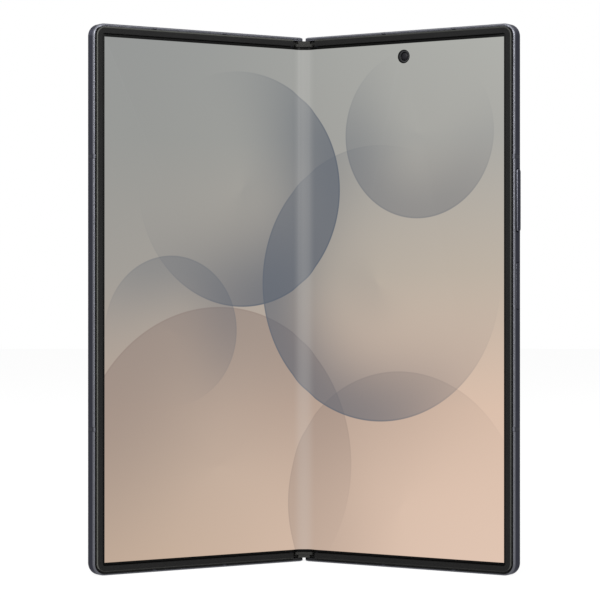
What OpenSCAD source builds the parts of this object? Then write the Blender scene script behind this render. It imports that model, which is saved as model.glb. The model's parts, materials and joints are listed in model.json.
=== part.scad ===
// Foldable smartphone, half open like a book, standing on its bottom edge.
// Each half is drawn lying flat: x runs outward from the hinge, y from the rim's front to the back, z up.
// A half then swings about its own virtual fold axis, which lies inside the hinge spine.
// The origin is on the ground, under the middle of the half-open outline.

/* [Size] */
// Height of the body
height = 158.4; // [150:0.1:166]
// Width of one half, from the hinge's middle plane to the outer edge
half_w = 71.6; // [68:0.1:76]
// Thickness of one half, from the rim's front to the back
half_t = 4.2; // [4:0.05:4.8]
// How far the spine stands out past the halves when it is folded shut
spine_over = 1.2; // [0.9:0.05:1.4]
// Gap between the two rims when it is folded shut
closed_gap = 0.5; // [0.4:0.05:0.6]
// Angle between the two halves as it stands here
opening_angle = 115; // [60:1:175]

/* [Frame] */
// Thickness of the side, top and bottom walls
wall = 1; // [0.9:0.05:1.2]
// Width of the frame's front lip round the rim
lip_w = 0.5; // [0.45:0.05:0.65]
// Set-back of the frame's front from the rim's front
frame_front = 0.25; // [0.15:0.05:0.3]
// Radius of the body's outer corners
corner_r = 3.6; // [3:0.1:5]
// Radius along the frame's front and back edges
edge_r = 0.55; // [0.3:0.05:0.6]
// Thickness of the mid plate
mid_plate_t = 0.5; // [0.4:0.05:0.6]
// Thickness of the back skirt over the hinge spine
skirt_t = 0.4; // [0.35:0.05:0.5]
// Gap between the skirt and the spine
skirt_gap = 0.1; // [0.08:0.01:0.14]
// Distance of the frames' back corners from the middle plane
seam_back = 0.05; // [0.04:0.01:0.1]
// Distance of the frames' front corners from the middle plane
seam_front = 0.83; // [0.8:0.01:1]
// Depth at which the slanted seam has reached the back corner
seam_turn_y = 1.48; // [1.4:0.02:1.7]
// Radius of the frames' corners beside the hinge
hinge_corner_r = 1.8; // [1.2:0.1:2]
// Width of an antenna break
antenna_w = 1.3; // [1:0.1:1.8]
// Height of the lower side break
antenna_side_low = 42; // [34:0.5:60]
// Height of the upper side break
antenna_side_high = 120.2; // [119:0.2:132]
// Distance of the inner end break from the charging port's middle
antenna_from_port = 7.8; // [6:0.2:12]
// Distance of the outer end break from the outer edge
antenna_from_edge = 20; // [19:0.2:24]

/* [Screen] */
// Width of the raised rim
rim_w = 2.1; // [1.8:0.1:2.3]
// Distance from the frame's outer face to the rim
rim_inset = 0.78; // [0.75:0.01:0.9]
// Radius along the rim's outer front edge
rim_edge_r = 0.4; // [0.2:0.05:0.45]
// Distance from the middle plane to the rim's ends
rim_end = 4.25; // [4.2:0.05:5]
// Depth of the screen's face below the rim's front
screen_y = 0.3; // [0.25:0.05:0.35]
// Thickness of the screen
screen_t = 0.4; // [0.3:0.05:0.45]
// Radius of the screen's corners
screen_r = 0.4; // [0.3:0.05:0.6]
// Gap between the screen and the rim
screen_gap = 0.15; // [0.1:0.05:0.3]
// Thickness of the plate under the screen
plate_t = 0.15; // [0.1:0.01:0.2]
// Half the width of the screen that bends
bend_half = 4.5; // [4.3:0.1:4.7]
// Diameter of the camera hole in the screen
hole_d = 3.75; // [3.2:0.05:4.2]
// Distance of the camera hole from the middle plane
hole_x = 35.2; // [32:0.1:40]
// Distance of the camera hole from the body's top
hole_from_top = 7.6; // [7:0.1:10]

/* [Keys] */
// Bottom of the volume rocker
volume_z = 98.6; // [97:0.1:100.5]
// Length of the volume rocker
volume_len = 18.1; // [15:0.1:18.5]
// How far the volume rocker stands out
volume_proud = 0.4; // [0.2:0.05:0.5]
// Bottom of the side key
side_z = 76.4; // [60:0.1:79]
// Length of the side key
side_len = 13.4; // [12:0.1:15]
// How far the side key stands out
side_proud = 0.1; // [0.05:0.05:0.3]
// Width of both keys
key_w = 2.1; // [1.8:0.05:2.2]
// Depth of the keys' middle line below the rim's front
key_y = 2.45; // [2.3:0.05:2.5]
// Thickness of the keys' feet
key_foot_t = 0.35; // [0.3:0.05:0.4]
// Gap between the wall and the keys' feet
key_travel = 0.45; // [0.35:0.05:0.5]
// Thickness of the strip that carries the switches
flex_t = 0.2; // [0.1:0.01:0.25]
// Height of the switches
switch_h = 0.35; // [0.2:0.05:0.4]
// Gap round each key
key_gap = 0.18; // [0.12:0.02:0.24]

/* [Back] */
// Thickness of the back panes
glass_t = 0.55; // [0.45:0.05:0.6]
// Width of the frame round the back panes
back_band = 1.25; // [1.2:0.05:1.6]
// Width of the frame between the pane and the hinge
back_rail = 2.8; // [2.7:0.1:3.2]
// Thickness of the ledge that a back pane rests on
ledge_t = 0.5; // [0.4:0.05:0.6]
// Width of that ledge
ledge_w = 1.5; // [1.2:0.1:1.8]
// Gap round the back panes
glass_gap = 0.1; // [0.05:0.01:0.15]
// Thickness of the cover screen
cover_t = 0.35; // [0.3:0.05:0.4]
// Distance of the cover screen's edge from the pane's edge
cover_edge = 1; // [0.8:0.1:1.4]
// Radius of the cover screen's corners
cover_r = 1.5; // [1:0.1:1.8]
// Diameter of the cover screen's camera hole
cover_hole_d = 3.6; // [3:0.1:4.2]
// Distance of the cover camera from the body's top
cover_hole_from_top = 6.4; // [5.8:0.1:8]

/* [Camera island] */
// Width of the island
island_w = 17; // [16.4:0.1:18]
// Length of the island
island_len = 51; // [49:0.5:54]
// Height of the island over the pane
island_h = 1.7; // [1:0.1:2.2]
// Radius along the island's edge
island_edge_r = 0.6; // [0.3:0.1:0.8]
// Distance from the body's outer edge to the island
island_from_edge = 4.6; // [4:0.1:7]
// Distance from the body's top to the island
island_from_top = 5; // [4:0.1:7]
// Distance between neighbouring lenses
lens_step = 16.6; // [15.6:0.1:17.2]
// Outer diameter of a lens ring
lens_ring_d = 14.2; // [13:0.1:15]
// Height of a lens ring over the island
lens_ring_h = 0.9; // [0.5:0.1:1.4]
// Width of a lens ring
lens_ring_w = 1.5; // [1:0.1:2]
// Diameter of the camera barrels
barrel_d = 9.4; // [8:0.1:10]
// Diameter of the flash
flash_d = 4.4; // [3:0.1:6]
// Distance from the island's middle line to the flash
flash_step = 13.5; // [12:0.1:16]

/* [Hinge] */
// Thickness of the spine cover
spine_t = 0.4; // [0.35:0.05:0.45]
// Gap between the spine cover's ends and the frames' end walls
spine_end_gap = 0.15; // [0.1:0.05:0.3]
// Height of the lower hinge module's foot
module_z = 8; // [7:0.5:12]
// Pitch radius of the gears
gear_r = 0.725; // [0.715:0.005:0.73]
// Teeth on each gear
gear_teeth = 12; // [12:2:12]
// Width of the gears and sync arms
gear_len = 2.5; // [1.5:0.1:3]
// Distance of the gears' axes behind the fold axes
gear_drop = 0.8; // [0.78:0.01:0.85]
// Radius of the gear pins
pin_r = 0.3; // [0.2:0.02:0.32]
// Running gap of the pins in their bores
pin_gap = 0.03; // [0.02:0.01:0.05]
// Width of the rotators
rotator_len = 6; // [4:0.1:7]
// Outer radius of the rotators' curved rails
rail_r = 1.75; // [1.6:0.01:1.78]
// Thickness of the rotators' curved rails
rail_t = 0.5; // [0.35:0.01:0.55]
// Gap between the brackets' cheeks and what turns between them
cheek_gap = 0.2; // [0.15:0.01:0.25]
// Distance between neighbouring friction washers
washer_step = 0.6; // [0.5:0.05:0.7]
// Thickness of a friction washer
washer_t = 0.4; // [0.3:0.05:0.45]
// Gap round a sync arm in its slot
slot_gap = 0.25; // [0.2:0.01:0.3]
// Thickness of the brackets' cheeks
cheek_t = 1.2; // [0.8:0.1:1.5]
// Distance from the middle plane to the wing plates' pivots
wing_pivot_x = 5.2; // [5.15:0.05:5.35]
// Distance from the middle plane to the wing plates' free edges
wing_free_x = 0.3; // [0.25:0.05:0.6]
// Radius of the wing plates' hinge barrels
wing_barrel_r = 0.2; // [0.18:0.01:0.22]
// Distance between a hinge module and the wing plates
wing_end_gap = 2.8; // [1.5:0.1:4]
// Thickness of the wing plates
wing_t = 0.2; // [0.15:0.01:0.22]
// Distance between the holes in the wing plates
wing_hole_step = 12; // [8:1:20]
// Radius of the holes in the wing plates
wing_hole_r = 0.5; // [0.3:0.1:0.8]
// Part of the fold that the wing plates tilt by
wing_ratio = 0.2; // [0.15:0.01:0.22]

/* [Inside] */
// Clearance between pieces that are put together once
fit = 0.1; // [0.08:0.01:0.12]
// Clearance between the mid plate and what lies on it
part_gap = 0.1; // [0.05:0.01:0.2]
// Thickness of the batteries
battery_t = 1.75; // [1.5:0.05:1.75]
// Radius of the batteries' corners
battery_r = 2; // [1:0.1:3]
// Bottom of the left battery
left_battery_z = 22; // [20:0.5:26]
// Distance from the body's top to the left battery
left_battery_from_top = 52.4; // [52:0.1:60]
// Bottom of the right battery
right_battery_z = 31; // [30.5:0.5:36]
// Distance from the body's top to the right battery
right_battery_from_top = 65.4; // [63:0.1:70]
// Distance from the outer wall to the batteries
battery_side_gap = 4.6; // [4:0.1:6]
// Set-back of the flap of a battery's circuit from the battery's sides
flap_inset = 6; // [4:0.5:12]
// Height of that flap over the battery
flap_h = 2; // [1:0.1:3]
// Diameter of the charging coil
coil_d = 44; // [36:0.5:45]
// Diameter of the hole in the charging coil
coil_hole_d = 22; // [16:0.5:26]
// Width of the coil's ferrite sheet beyond the coil
ferrite_w = 1; // [0.5:0.1:1.5]
// Thickness of the circuit boards
board_t = 0.6; // [0.5:0.05:0.7]
// Distance from the body's top to the boards' upper edges beside the cameras
board_from_top = 4; // [3:0.1:6]
// Distance from the body's top to the main board's lower edge
main_board_from_top = 58.4; // [56:0.1:60]
// Distance from the body's top to the left board's lower edge
left_board_from_top = 47.4; // [46:0.1:49]
// Distance from the body's top to the left board's upper edge
left_board_top_room = 16.4; // [16:0.1:20]
// Distance from the body's outer edge to the left board
left_board_from_edge = 22.6; // [20:0.1:26]
// Bottom of the lower board
lower_board_z = 5; // [4:0.1:7]
// Distance of the boards' screw holes from the boards' edges
hole_inset = 3.5; // [2.5:0.1:4.5]
// Radius of the boards' screw holes
screw_hole_r = 1; // [0.6:0.1:1.2]
// Distance from a board's edge to its shield cans
can_margin = 3.5; // [2:0.1:4]
// Gap between neighbouring shield cans
can_gap = 3; // [1:0.1:4]
// Width of the groove across the main shield can
can_groove_w = 0.3; // [0.2:0.05:0.5]
// Height of the shield cans over the boards
shield_h = 0.8; // [0.6:0.05:0.9]
// Height of the speakers and the motor over the mid plate
driver_t = 1.6; // [1.2:0.05:1.7]
// Width of the top speaker
top_speaker_w = 14; // [13:0.1:14]
// Depth that the top speaker reaches into the body
top_speaker_len = 11; // [9:0.1:12]
// Width of the bottom speaker
bottom_speaker_w = 15.6; // [14.5:0.1:16]
// Depth that the bottom speaker reaches into the body
bottom_speaker_len = 26.8; // [20:0.1:27]
// Distance from the outer wall to the bottom speaker
speaker_side_gap = 3; // [2.7:0.1:3.4]
// Height of the speakers' covers over their boxes
speaker_cover_h = 0.15; // [0.1:0.01:0.18]
// Gap between the end walls and the speakers
end_gap = 0.2; // [0.1:0.05:0.4]
// Distance between neighbouring sound openings
grille_step = 2.9; // [2.5:0.1:2.9]
// Length of a sound opening
grille_len = 1.9; // [1.4:0.1:2]
// Height of a sound opening
grille_h = 0.95; // [0.7:0.05:1.2]
// Distance of the microphone hole from the inner end break
mic_step = 4; // [2.5:0.1:6]
// Radius of the microphone hole
mic_r = 0.5; // [0.3:0.05:0.6]
// Width of the vibration motor
motor_w = 12; // [9:0.1:13]
// Length of the vibration motor
motor_len = 11; // [8:0.1:12]
// Bottom of the vibration motor
motor_z = 6; // [5:0.1:8]
// Width and length of the inner cameras' bodies
small_camera_w = 6.4; // [5.5:0.1:6.8]
// Width and length of the rear cameras' bodies
camera_w = 10.4; // [9.6:0.1:11]
// Thickness of all the cameras' bodies
camera_t = 1.6; // [1.2:0.05:1.7]
// Gap between the cameras' bodies and the boards
camera_gap = 1.2; // [0.6:0.1:1.6]
// Width of the charging port's mouth
port_w = 8.64; // [8.34:0.01:8.8]
// Height of the charging port's mouth
port_h = 2.56; // [2.5:0.01:2.58]
// Thickness of the charging port's shell
port_t = 0.1; // [0.08:0.01:0.1]
// Depth of the charging port
port_len = 7.4; // [7:0.1:8]
// Thickness of the charging port's back wall
port_back = 0.8; // [0.5:0.1:1]
// Width of the tongue in the charging port
tongue_w = 6.7; // [6.6:0.01:6.8]
// Thickness of the tongue in the charging port
tongue_t = 0.7; // [0.65:0.01:0.72]
// Length of the SIM tray's front
tray_w = 13; // [12:0.1:13.4]
// Height of the SIM tray's front
tray_h = 1.8; // [1.6:0.05:2]
// Depth that the SIM tray reaches into the frame
tray_len = 20; // [18:0.5:21]
// Distance from the body's outer edge to the SIM tray
tray_from_edge = 4.6; // [4:0.1:5.5]
// Width of the card
card_w = 8.8; // [8.7:0.05:8.9]
// Length of the card
card_len = 12.3; // [12.2:0.05:12.4]
// Thickness of the card
card_t = 0.67; // [0.6:0.01:0.7]
// Gap round the card and the tray
card_gap = 0.05; // [0.03:0.01:0.1]
// Width of the head of an end cap of the hinge
cap_head_w = 5.1; // [4.8:0.1:5.4]
// Width of the foot of an end cap of the hinge
cap_foot_w = 3.5; // [3:0.1:4]

/* [Hidden] */
$fn = 64;
// A little more than nothing, by which a cutter passes a face
past = 1;
// How far each half is folded from flat
fold = (180 - opening_angle) / 2;
// Spine: its back, and the fold axis that shuts the phone to its folded width and gap
spine_back = half_t - skirt_t - skirt_gap;
pivot_y = (spine_back - spine_over - closed_gap / 2) / 2;
pivot_x = pivot_y + closed_gap / 2;
spine_r = spine_back - pivot_y;
pocket_r = spine_r + skirt_gap;
spine_in_r = spine_r - spine_t - fit / 2;
spine_front = 0.125;
// Layers of a half, from the front to the back
plate_y = screen_y + screen_t;
mid_y = plate_y + plate_t;
inside_y = mid_y + mid_plate_t;
glass_y = half_t - glass_t;
inside_back = glass_y - ledge_t;
cover_y = glass_y - cover_t;
// Outline of the inside of a half
inner_x = half_w - wall;
inner_r = corner_r - wall;
groove_wall = 0.5;
hinge_wall_x = wing_pivot_x + wing_barrel_r + groove_wall;
groove_in_x = wing_pivot_x - wing_barrel_r - fit;
rim_out_x = half_w - rim_inset;
rim_in_x = rim_out_x - rim_w;
screen_x = rim_in_x - screen_gap;
screen_z = rim_inset + rim_w + screen_gap;
// Hinge modules, as heights above a module's foot
gear_z = cheek_t + cheek_gap;
second_cheek_z = gear_z + gear_len + cheek_gap;
rotator_z = second_cheek_z + cheek_t + cheek_gap;
third_cheek_z = rotator_z + rotator_len + cheek_gap;
washer_z = third_cheek_z + cheek_t + cheek_gap;
washers = 10;
last_cheek_z = washer_z + washers * washer_step;
module_len = last_cheek_z + cheek_t;
rail_sweep = 125;
gear_y = pivot_y + gear_drop;
gear_module = 2 * gear_r / gear_teeth;
gear_tip_r = gear_r + 0.95 * gear_module;
gear_root_r = gear_r - 1.25 * gear_module;
arm_end = 8.6;
arm_front = 1.5;
arm_back = 2.1;
arm_drift = 0.33;
seat_wall = 0.6;
// Wing plates lie just under the screen, between the two modules
wing_y = plate_y + fit / 2;
wing_pivot_y = wing_y + wing_barrel_r;
wing_z = module_z + module_len + wing_end_gap;
// Spot on the ground under the middle of the outline
front_reach = pivot_y - (half_w - pivot_x) * sin(fold) + (frame_front - pivot_y) * cos(fold);
back_reach = pivot_y - (seam_back - pivot_x) * sin(fold) + (half_t - pivot_y) * cos(fold);
middle_y = (front_reach + back_reach) / 2;
// Spots in the halves
hole_z = height - hole_from_top;
island_x = half_w - island_from_edge - island_w / 2;
island_z = height - island_from_top - island_len / 2;
cover_hole_x = (back_rail + half_w - back_band) / 2;
cover_hole_z = height - cover_hole_from_top;
port_x = half_w / 2;
port_y = mid_y + fit / 5 + port_t + port_h / 2;
antenna_xs = [port_x - antenna_from_port, half_w - antenna_from_edge];
tray_x = half_w - tray_from_edge - tray_w / 2;
tray_y = inside_y + part_gap + tray_h / 2;
card_z = height - wall - tray_len + 0.15 * tray_len;
// Spots of the inside pieces
board_x = arm_end + 9 * fit;
part_y = inside_y + part_gap;
board_back = part_y + board_t;
part_out_x = inner_x - battery_side_gap;
left_battery_top = height - left_battery_from_top;
right_battery_top = height - right_battery_from_top;
left_board_x = half_w - left_board_from_edge;
left_board_z = height - left_board_from_top;
left_board_top = height - left_board_top_room;
main_board_x = island_x - camera_w / 2 - camera_gap;
main_board_z = height - main_board_from_top;
main_board_top = height - board_from_top;
main_can_x = board_x + 0.72 * (main_board_x - board_x);
main_can_z = main_board_z + 2 * hole_inset;
main_can_top = hole_z - small_camera_w / 2 - 2 * can_gap;
speaker_out_x = inner_x - speaker_side_gap;
speaker_x = speaker_out_x - bottom_speaker_w;
speaker_top = wall + end_gap + bottom_speaker_len;
speaker_z = height - wall - end_gap - top_speaker_len;

// Where a half's point (x, y) goes when the half is folded by a degrees
function folded(x, y, a) = [
    pivot_x + (x - pivot_x) * cos(a) + (y - pivot_y) * sin(a),
    pivot_y - (x - pivot_x) * sin(a) + (y - pivot_y) * cos(a)
];
// Share of the fold that the bending screen has taken up at x: none in the middle, all at bend_half
function share(x) = let(t = min(1, abs(x) / bend_half)) t * t * (3 - 2 * t);
// Where the bending screen's point (x, y) lies
function bent(x, y) = let(p = folded(abs(x), y, fold * share(x))) [x < 0 ? -p[0] : p[0], p[1]];
// Point at radius r and angle a
function polar(r, a) = [r * cos(a), r * sin(a)];

// The spine stands unturned, and each half turns about its own fold axis
module in_hinge() {
    translate([0, -middle_y, 0]) children();
}
module in_right() {
    in_hinge() translate([pivot_x, pivot_y, 0]) rotate([0, 0, -fold]) translate([-pivot_x, -pivot_y, 0])
        children();
}
module in_left() {
    mirror([1, 0, 0]) in_right() children();
}
// The same at the bottom and at the top
module upside() {
    translate([0, 0, height]) mirror([0, 0, 1]) children();
}
module both_ends() {
    children();
    upside() children();
}

// Box between two corners
module box(low, high) {
    translate(low) cube(high - low);
}
// Cylinder across the body's thickness, centred on x and z
module across(x, z, y0, y1, r) {
    translate([x, y0, z]) rotate([-90, 0, 0]) cylinder(h = y1 - y0, r = r);
}
// Plate with four round corners, lying like the screen
module plate(x0, x1, z0, z1, y0, y1, r) {
    box([x0 + r, y0, z0], [x1 - r, y1, z1]);
    box([x0, y0, z0 + r], [x1, y1, z1 - r]);
    for (x = [x0 + r, x1 - r]) {
        for (z = [z0 + r, z1 - r]) across(x, z, y0, y1, r);
    }
}
// Plate of a half: square at the hinge, with two round corners at the outer edge
module half_plate(x0, x1, inset, y0, y1, r) {
    box([x0, y0, inset], [x1 - r, y1, height - inset]);
    box([x0, y0, inset + r], [x1, y1, height - inset - r]);
    for (z = [inset + r, height - inset - r]) across(x1 - r, z, y0, y1, r);
}
// Upright bar with round ends, as a cutter or a key: along z, facing outward
module key_bar(x0, x1, y, z0, z1, w) {
    r = w / 2;
    box([x0, y - r, z0 + r], [x1, y + r, z1 - r]);
    for (z = [z0 + r, z1 - r]) {
        translate([x0, y, z]) rotate([0, 90, 0]) cylinder(h = x1 - x0, r = r);
    }
}
// Bar with round ends along x, standing on its end face
module end_bar(x0, x1, y, z0, z1, w) {
    r = w / 2;
    box([x0 + r, y - r, z0], [x1 - r, y + r, z1]);
    for (x = [x0 + r, x1 - r]) translate([x, y, z0]) cylinder(h = z1 - z0, r = r);
}
// Quarter of a disc, as the filler of a rounded corner
module quarter(r) {
    intersection() {
        circle(r);
        square(r);
    }
}
// Section of an edge, w wide, with its outer corners rounded
module edge_section(w, y0, y1, front_r, back_r) {
    translate([0, y0 + front_r]) square([w, y1 - y0 - front_r - back_r]);
    translate([0, y0]) square([w - max(front_r, back_r), y1 - y0]);
    translate([w - front_r, y0 + front_r]) mirror([0, 1]) quarter(front_r);
    if (back_r > 0) translate([w - back_r, y1 - back_r]) quarter(back_r);
}
// Edge section swept round the three outer sides of a half
module swept_edge(x0, x1, inset, r, w, y0, y1, front_r, back_r) {
    translate([x1 - w, 0, inset + r]) linear_extrude(height - 2 * inset - 2 * r)
        edge_section(w, y0, y1, front_r, back_r);
    both_ends() {
        translate([x1 - r, 0, inset + r]) rotate([-90, 0, 0]) rotate_extrude(angle = 90)
            translate([r - w, 0]) edge_section(w, y0, y1, front_r, back_r);
        translate([x0, 0, inset + w]) rotate([0, 90, 0]) linear_extrude(x1 - r - x0)
            edge_section(w, y0, y1, front_r, back_r);
    }
}

// Housing of one half before its own openings are cut
module housing_block() {
    swept_edge(seam_back, half_w, 0, corner_r, corner_r, frame_front, half_t, edge_r, edge_r);
    box([seam_back, frame_front, corner_r], [half_w - corner_r, half_t, height - corner_r]);
}
// Slanted seam and round corner beside the hinge, at the bottom end
module hinge_end_cut() {
    linear_extrude(height) polygon([
        [-past, -past],
        [seam_front, -past],
        [seam_front, frame_front],
        [seam_back, seam_turn_y],
        [-past, seam_turn_y]
    ]);
    both_ends() difference() {
        box([-past, -past, -past], [seam_back + hinge_corner_r, half_t + past, hinge_corner_r]);
        across(seam_back + hinge_corner_r, hinge_corner_r, -2 * past, half_t + 2 * past, hinge_corner_r);
    }
}
// Room for the spine, the screen's bend and the wing plate
module hinge_pocket() {
    translate([pivot_x, pivot_y, wall]) cylinder(h = height - 2 * wall, r = pocket_r);
    box([-past, pivot_y, wall], [pivot_x, half_t - skirt_t, height - wall]);
    box([-past, -past, wall], [groove_in_x, pivot_y + 2.2 * fit, height - wall]);
    box([groove_in_x - past, mid_y - past, wing_z - 4 * fit],
        [wing_pivot_x + wing_barrel_r + 1.5 * fit, wing_pivot_y + wing_barrel_r + fit,
            height - wing_z + 4 * fit]);
}
// Room for the rim, and under it for the screen's plate
module front_recess() {
    half_plate(-past, half_w - lip_w, lip_w, -past, plate_y, corner_r - lip_w);
    half_plate(-past, rim_out_x, rim_inset, plate_y - past, mid_y, corner_r - rim_inset);
}
module housing() {
    difference() {
        housing_block();
        front_recess();
        half_plate(hinge_wall_x, inner_x, wall, inside_y, inside_back, inner_r);
        half_plate(back_rail, half_w - back_band, back_band, glass_y, half_t + past, corner_r - back_band);
        plate(hinge_wall_x + 0.8 * ledge_w, inner_x - ledge_w, wall + ledge_w, height - wall - ledge_w,
            inside_back - past, glass_y + past, inner_r - ledge_w);
        hinge_pocket();
        hinge_end_cut();
        both_ends() module_cuts();
    }
    both_ends() difference() {
        box([hinge_wall_x - past, inside_y - fit, module_z + rotator_z - seat_wall],
            [arm_end + seat_wall, inside_y + seat_wall, module_z + rotator_z + rotator_len + seat_wall]);
        rotator_seat();
    }
}
// Recess in which a rotator's flange is screwed down
module rotator_seat() {
    box([groove_in_x - past, mid_y - past, module_z + rotator_z - 1.5 * fit],
        [arm_end + 2 * fit, inside_y + fit / 2, module_z + rotator_z + rotator_len + 1.5 * fit]);
}
// Seat of a rotator and slot of a sync arm through the hinge wall
module module_cuts() {
    rotator_seat();
    box([pivot_x, arm_front - slot_gap, module_z + gear_z - slot_gap],
        [hinge_wall_x + past, arm_back + arm_drift + slot_gap, module_z + gear_z + gear_len + slot_gap]);
}
// The wall's breaks, which plastic fills
module antenna_slots() {
    for (z = [antenna_side_low, antenna_side_high]) {
        box([inner_x, -past, z - antenna_w / 2], [half_w + past, half_t + past, z + antenna_w / 2]);
    }
    both_ends() {
        for (x = antenna_xs) {
            box([x - antenna_w / 2, -past, -past], [x + antenna_w / 2, half_t + past, wall]);
        }
    }
}
// Row of sound openings through an end wall, about the middle x
module grille(x, count) {
    x0 = x - ((count - 1) * grille_step + grille_len) / 2;
    for (i = [0 : count - 1]) translate([x0 + i * grille_step, 0, 0]) {
        end_bar(0, grille_len, tray_y, -past, wall + end_gap, grille_h);
    }
}
module antenna_strips() {
    color([0.22, 0.23, 0.27]) intersection() {
        difference() {
            housing_block();
            front_recess();
            half_plate(-past, inner_x, wall, mid_y, glass_y, inner_r);
            half_plate(-past, half_w - back_band, back_band, glass_y, half_t + past, corner_r - back_band);
        }
        antenna_slots();
    }
}

// Left half
module left_frame() {
    color([0.27, 0.28, 0.33]) in_left() difference() {
        housing();
        antenna_slots();
        half_plate(back_rail + cover_edge - fit, half_w - back_band - cover_edge + fit,
            back_band + cover_edge - fit, cover_y, half_t, cover_r + fit);
        upside() {
            end_bar(tray_x - tray_w / 2 - card_gap, tray_x + tray_w / 2 + card_gap, tray_y,
                -past, wall + past, tray_h + 2 * card_gap);
            grille(board_x + top_speaker_w / 2, 4);
        }
        across(cover_hole_x, cover_hole_z, inside_back - past, glass_y, cover_hole_d / 2 + 3 * fit);
    }
}
module bezel() {
    color([0.13, 0.13, 0.14]) difference() {
        swept_edge(rim_end, rim_out_x, rim_inset, corner_r - rim_inset, rim_w + 3 * fit,
            0, plate_y, rim_edge_r, 0);
        plate(0, rim_in_x, rim_inset + rim_w, height - rim_inset - rim_w,
            -past, half_t, screen_r + screen_gap);
    }
}
module left_bezel() {
    in_left() bezel();
}
module left_antenna_strips() {
    in_left() antenna_strips();
}
// Flat part of the screen on one half
module screen_panel() {
    plate(bend_half - 2 * screen_r, screen_x, screen_z, height - screen_z, screen_y, plate_y, screen_r);
}
// Box that keeps what lies past the bend
module past_bend() {
    box([bend_half, -past, 0], [half_w, half_t + past, height]);
}
module left_display_panel() {
    color([0.62, 0.6, 0.58]) in_left() intersection() {
        screen_panel();
        past_bend();
    }
}
module support_plate() {
    half_plate(wing_pivot_x + wing_barrel_r + fit, rim_out_x - fit, rim_inset + fit, plate_y, mid_y,
        corner_r - rim_inset - fit);
}
module left_display_plate() {
    color([0.5, 0.5, 0.52]) in_left() support_plate();
}
// Pane that closes the back of a half
module pane() {
    half_plate(back_rail + glass_gap, half_w - back_band - glass_gap, back_band + glass_gap,
        glass_y, half_t, corner_r - back_band - glass_gap);
}
module cover_glass() {
    color([0.08, 0.08, 0.1]) in_left() difference() {
        pane();
        across(cover_hole_x, cover_hole_z, glass_y - past, half_t + past, cover_hole_d / 2);
    }
}
module cover_display() {
    color([0.05, 0.05, 0.06]) in_left() difference() {
        half_plate(back_rail + cover_edge, half_w - back_band - cover_edge, back_band + cover_edge,
            cover_y, glass_y, cover_r);
        across(cover_hole_x, cover_hole_z, 0, half_t, cover_hole_d / 2 + fit);
    }
}
// Square body of a camera
module camera_body(x, z, w, y1) {
    box([x - w / 2, part_y, z - w / 2], [x + w / 2, y1, z + w / 2]);
}
module cover_camera() {
    color([0.1, 0.1, 0.12]) in_left() {
        across(cover_hole_x, cover_hole_z, part_y + camera_t / 4, half_t - glass_t / 4,
            cover_hole_d / 2 - glass_gap);
        camera_body(cover_hole_x, cover_hole_z, small_camera_w, cover_y - glass_gap);
    }
}
// Flat cell with round corners and the flap of its circuit at the top
module battery(x0, x1, z0, z1) {
    plate(x0, x1, z0, z1, part_y, part_y + battery_t, battery_r);
    box([x0 + flap_inset, part_y, z1 - battery_r], [x1 - flap_inset, part_y + battery_t / 2, z1 + flap_h]);
}
module left_battery() {
    color([0.15, 0.15, 0.16]) in_left() battery(board_x, part_out_x, left_battery_z, left_battery_top);
}
// Hole for a screw in a circuit board
module board_hole(x, z) {
    across(x, z, 0, half_t, screw_hole_r);
}
// Shield can with round corners
module can(x0, x1, z0, z1, y0, h) {
    plate(x0, x1, z0, z1, y0, y0 + h, board_t);
}
module left_board() {
    color([0.1, 0.3, 0.2]) in_left() {
        split_x = board_x + 0.57 * (left_board_x - board_x);
        can_z = left_board_z + can_margin;
        can_top = left_board_top - 2 * hole_inset;
        difference() {
            plate(board_x, left_board_x, left_board_z, left_board_top, part_y, board_back, screw_hole_r);
            board_hole(left_board_x - hole_inset, left_board_top - hole_inset);
        }
        can(board_x + can_margin, split_x, can_z, can_top, board_back, shield_h);
        can(split_x + can_gap, left_board_x - 2 * hole_inset, can_z, can_top - can_gap, board_back, shield_h);
    }
}
module vibration_motor() {
    color([0.6, 0.6, 0.62]) in_left() {
        x1 = part_out_x - motor_w / 6;
        plate(x1 - motor_w, x1, motor_z, motor_z + motor_len, part_y, part_y + driver_t, motor_w / 10);
        plate(x1 - 0.8 * motor_w, x1 - 0.2 * motor_w, motor_z - motor_w / 6, motor_z + motor_w / 6,
            part_y, part_y + driver_t / 3, motor_w / 24);
    }
}
// Speaker: a flat box, and on it the round cover of its driver at a share of its length
module speaker(x0, x1, z0, z1, share_z, r) {
    plate(x0, x1, z0, z1, part_y, part_y + driver_t, battery_r / 2);
    y1 = part_y + driver_t;
    across((x0 + x1) / 2, z0 + share_z * (z1 - z0), y1, y1 + speaker_cover_h, r);
}
module top_speaker() {
    color([0.16, 0.16, 0.17]) in_left() {
        speaker(board_x, board_x + top_speaker_w, speaker_z, height - wall - end_gap,
            0.5, 0.32 * top_speaker_len);
    }
}
// Tray with a front plate that closes its slot, and a window that holds the card
module sim_tray() {
    color([0.27, 0.28, 0.33]) in_left() difference() {
        union() {
            upside() end_bar(tray_x - tray_w / 2, tray_x + tray_w / 2, tray_y, 0, wall, tray_h);
            box([tray_x - tray_w / 2 + tray_h / 2, tray_y - tray_h / 4, height - wall - tray_len],
                [tray_x + tray_w / 2 - tray_h / 2, tray_y + tray_h / 4, height - wall + tray_h / 10]);
        }
        box([tray_x - card_w / 2 - card_gap, tray_y - tray_h / 6, card_z - card_gap],
            [tray_x + card_w / 2 + card_gap, half_t, card_z + card_len + card_gap]);
        translate([tray_x + (tray_w - tray_h) / 2, tray_y, height - wall - past])
            cylinder(h = 3 * past, r = tray_h / 5);
    }
}
module sim_card() {
    y0 = tray_y - tray_h / 6 + card_gap / 2;
    color([0.85, 0.75, 0.4]) in_left() {
        box([tray_x - card_w / 2, y0, card_z], [tray_x + card_w / 2, y0 + card_t, card_z + card_len]);
    }
}

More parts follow.
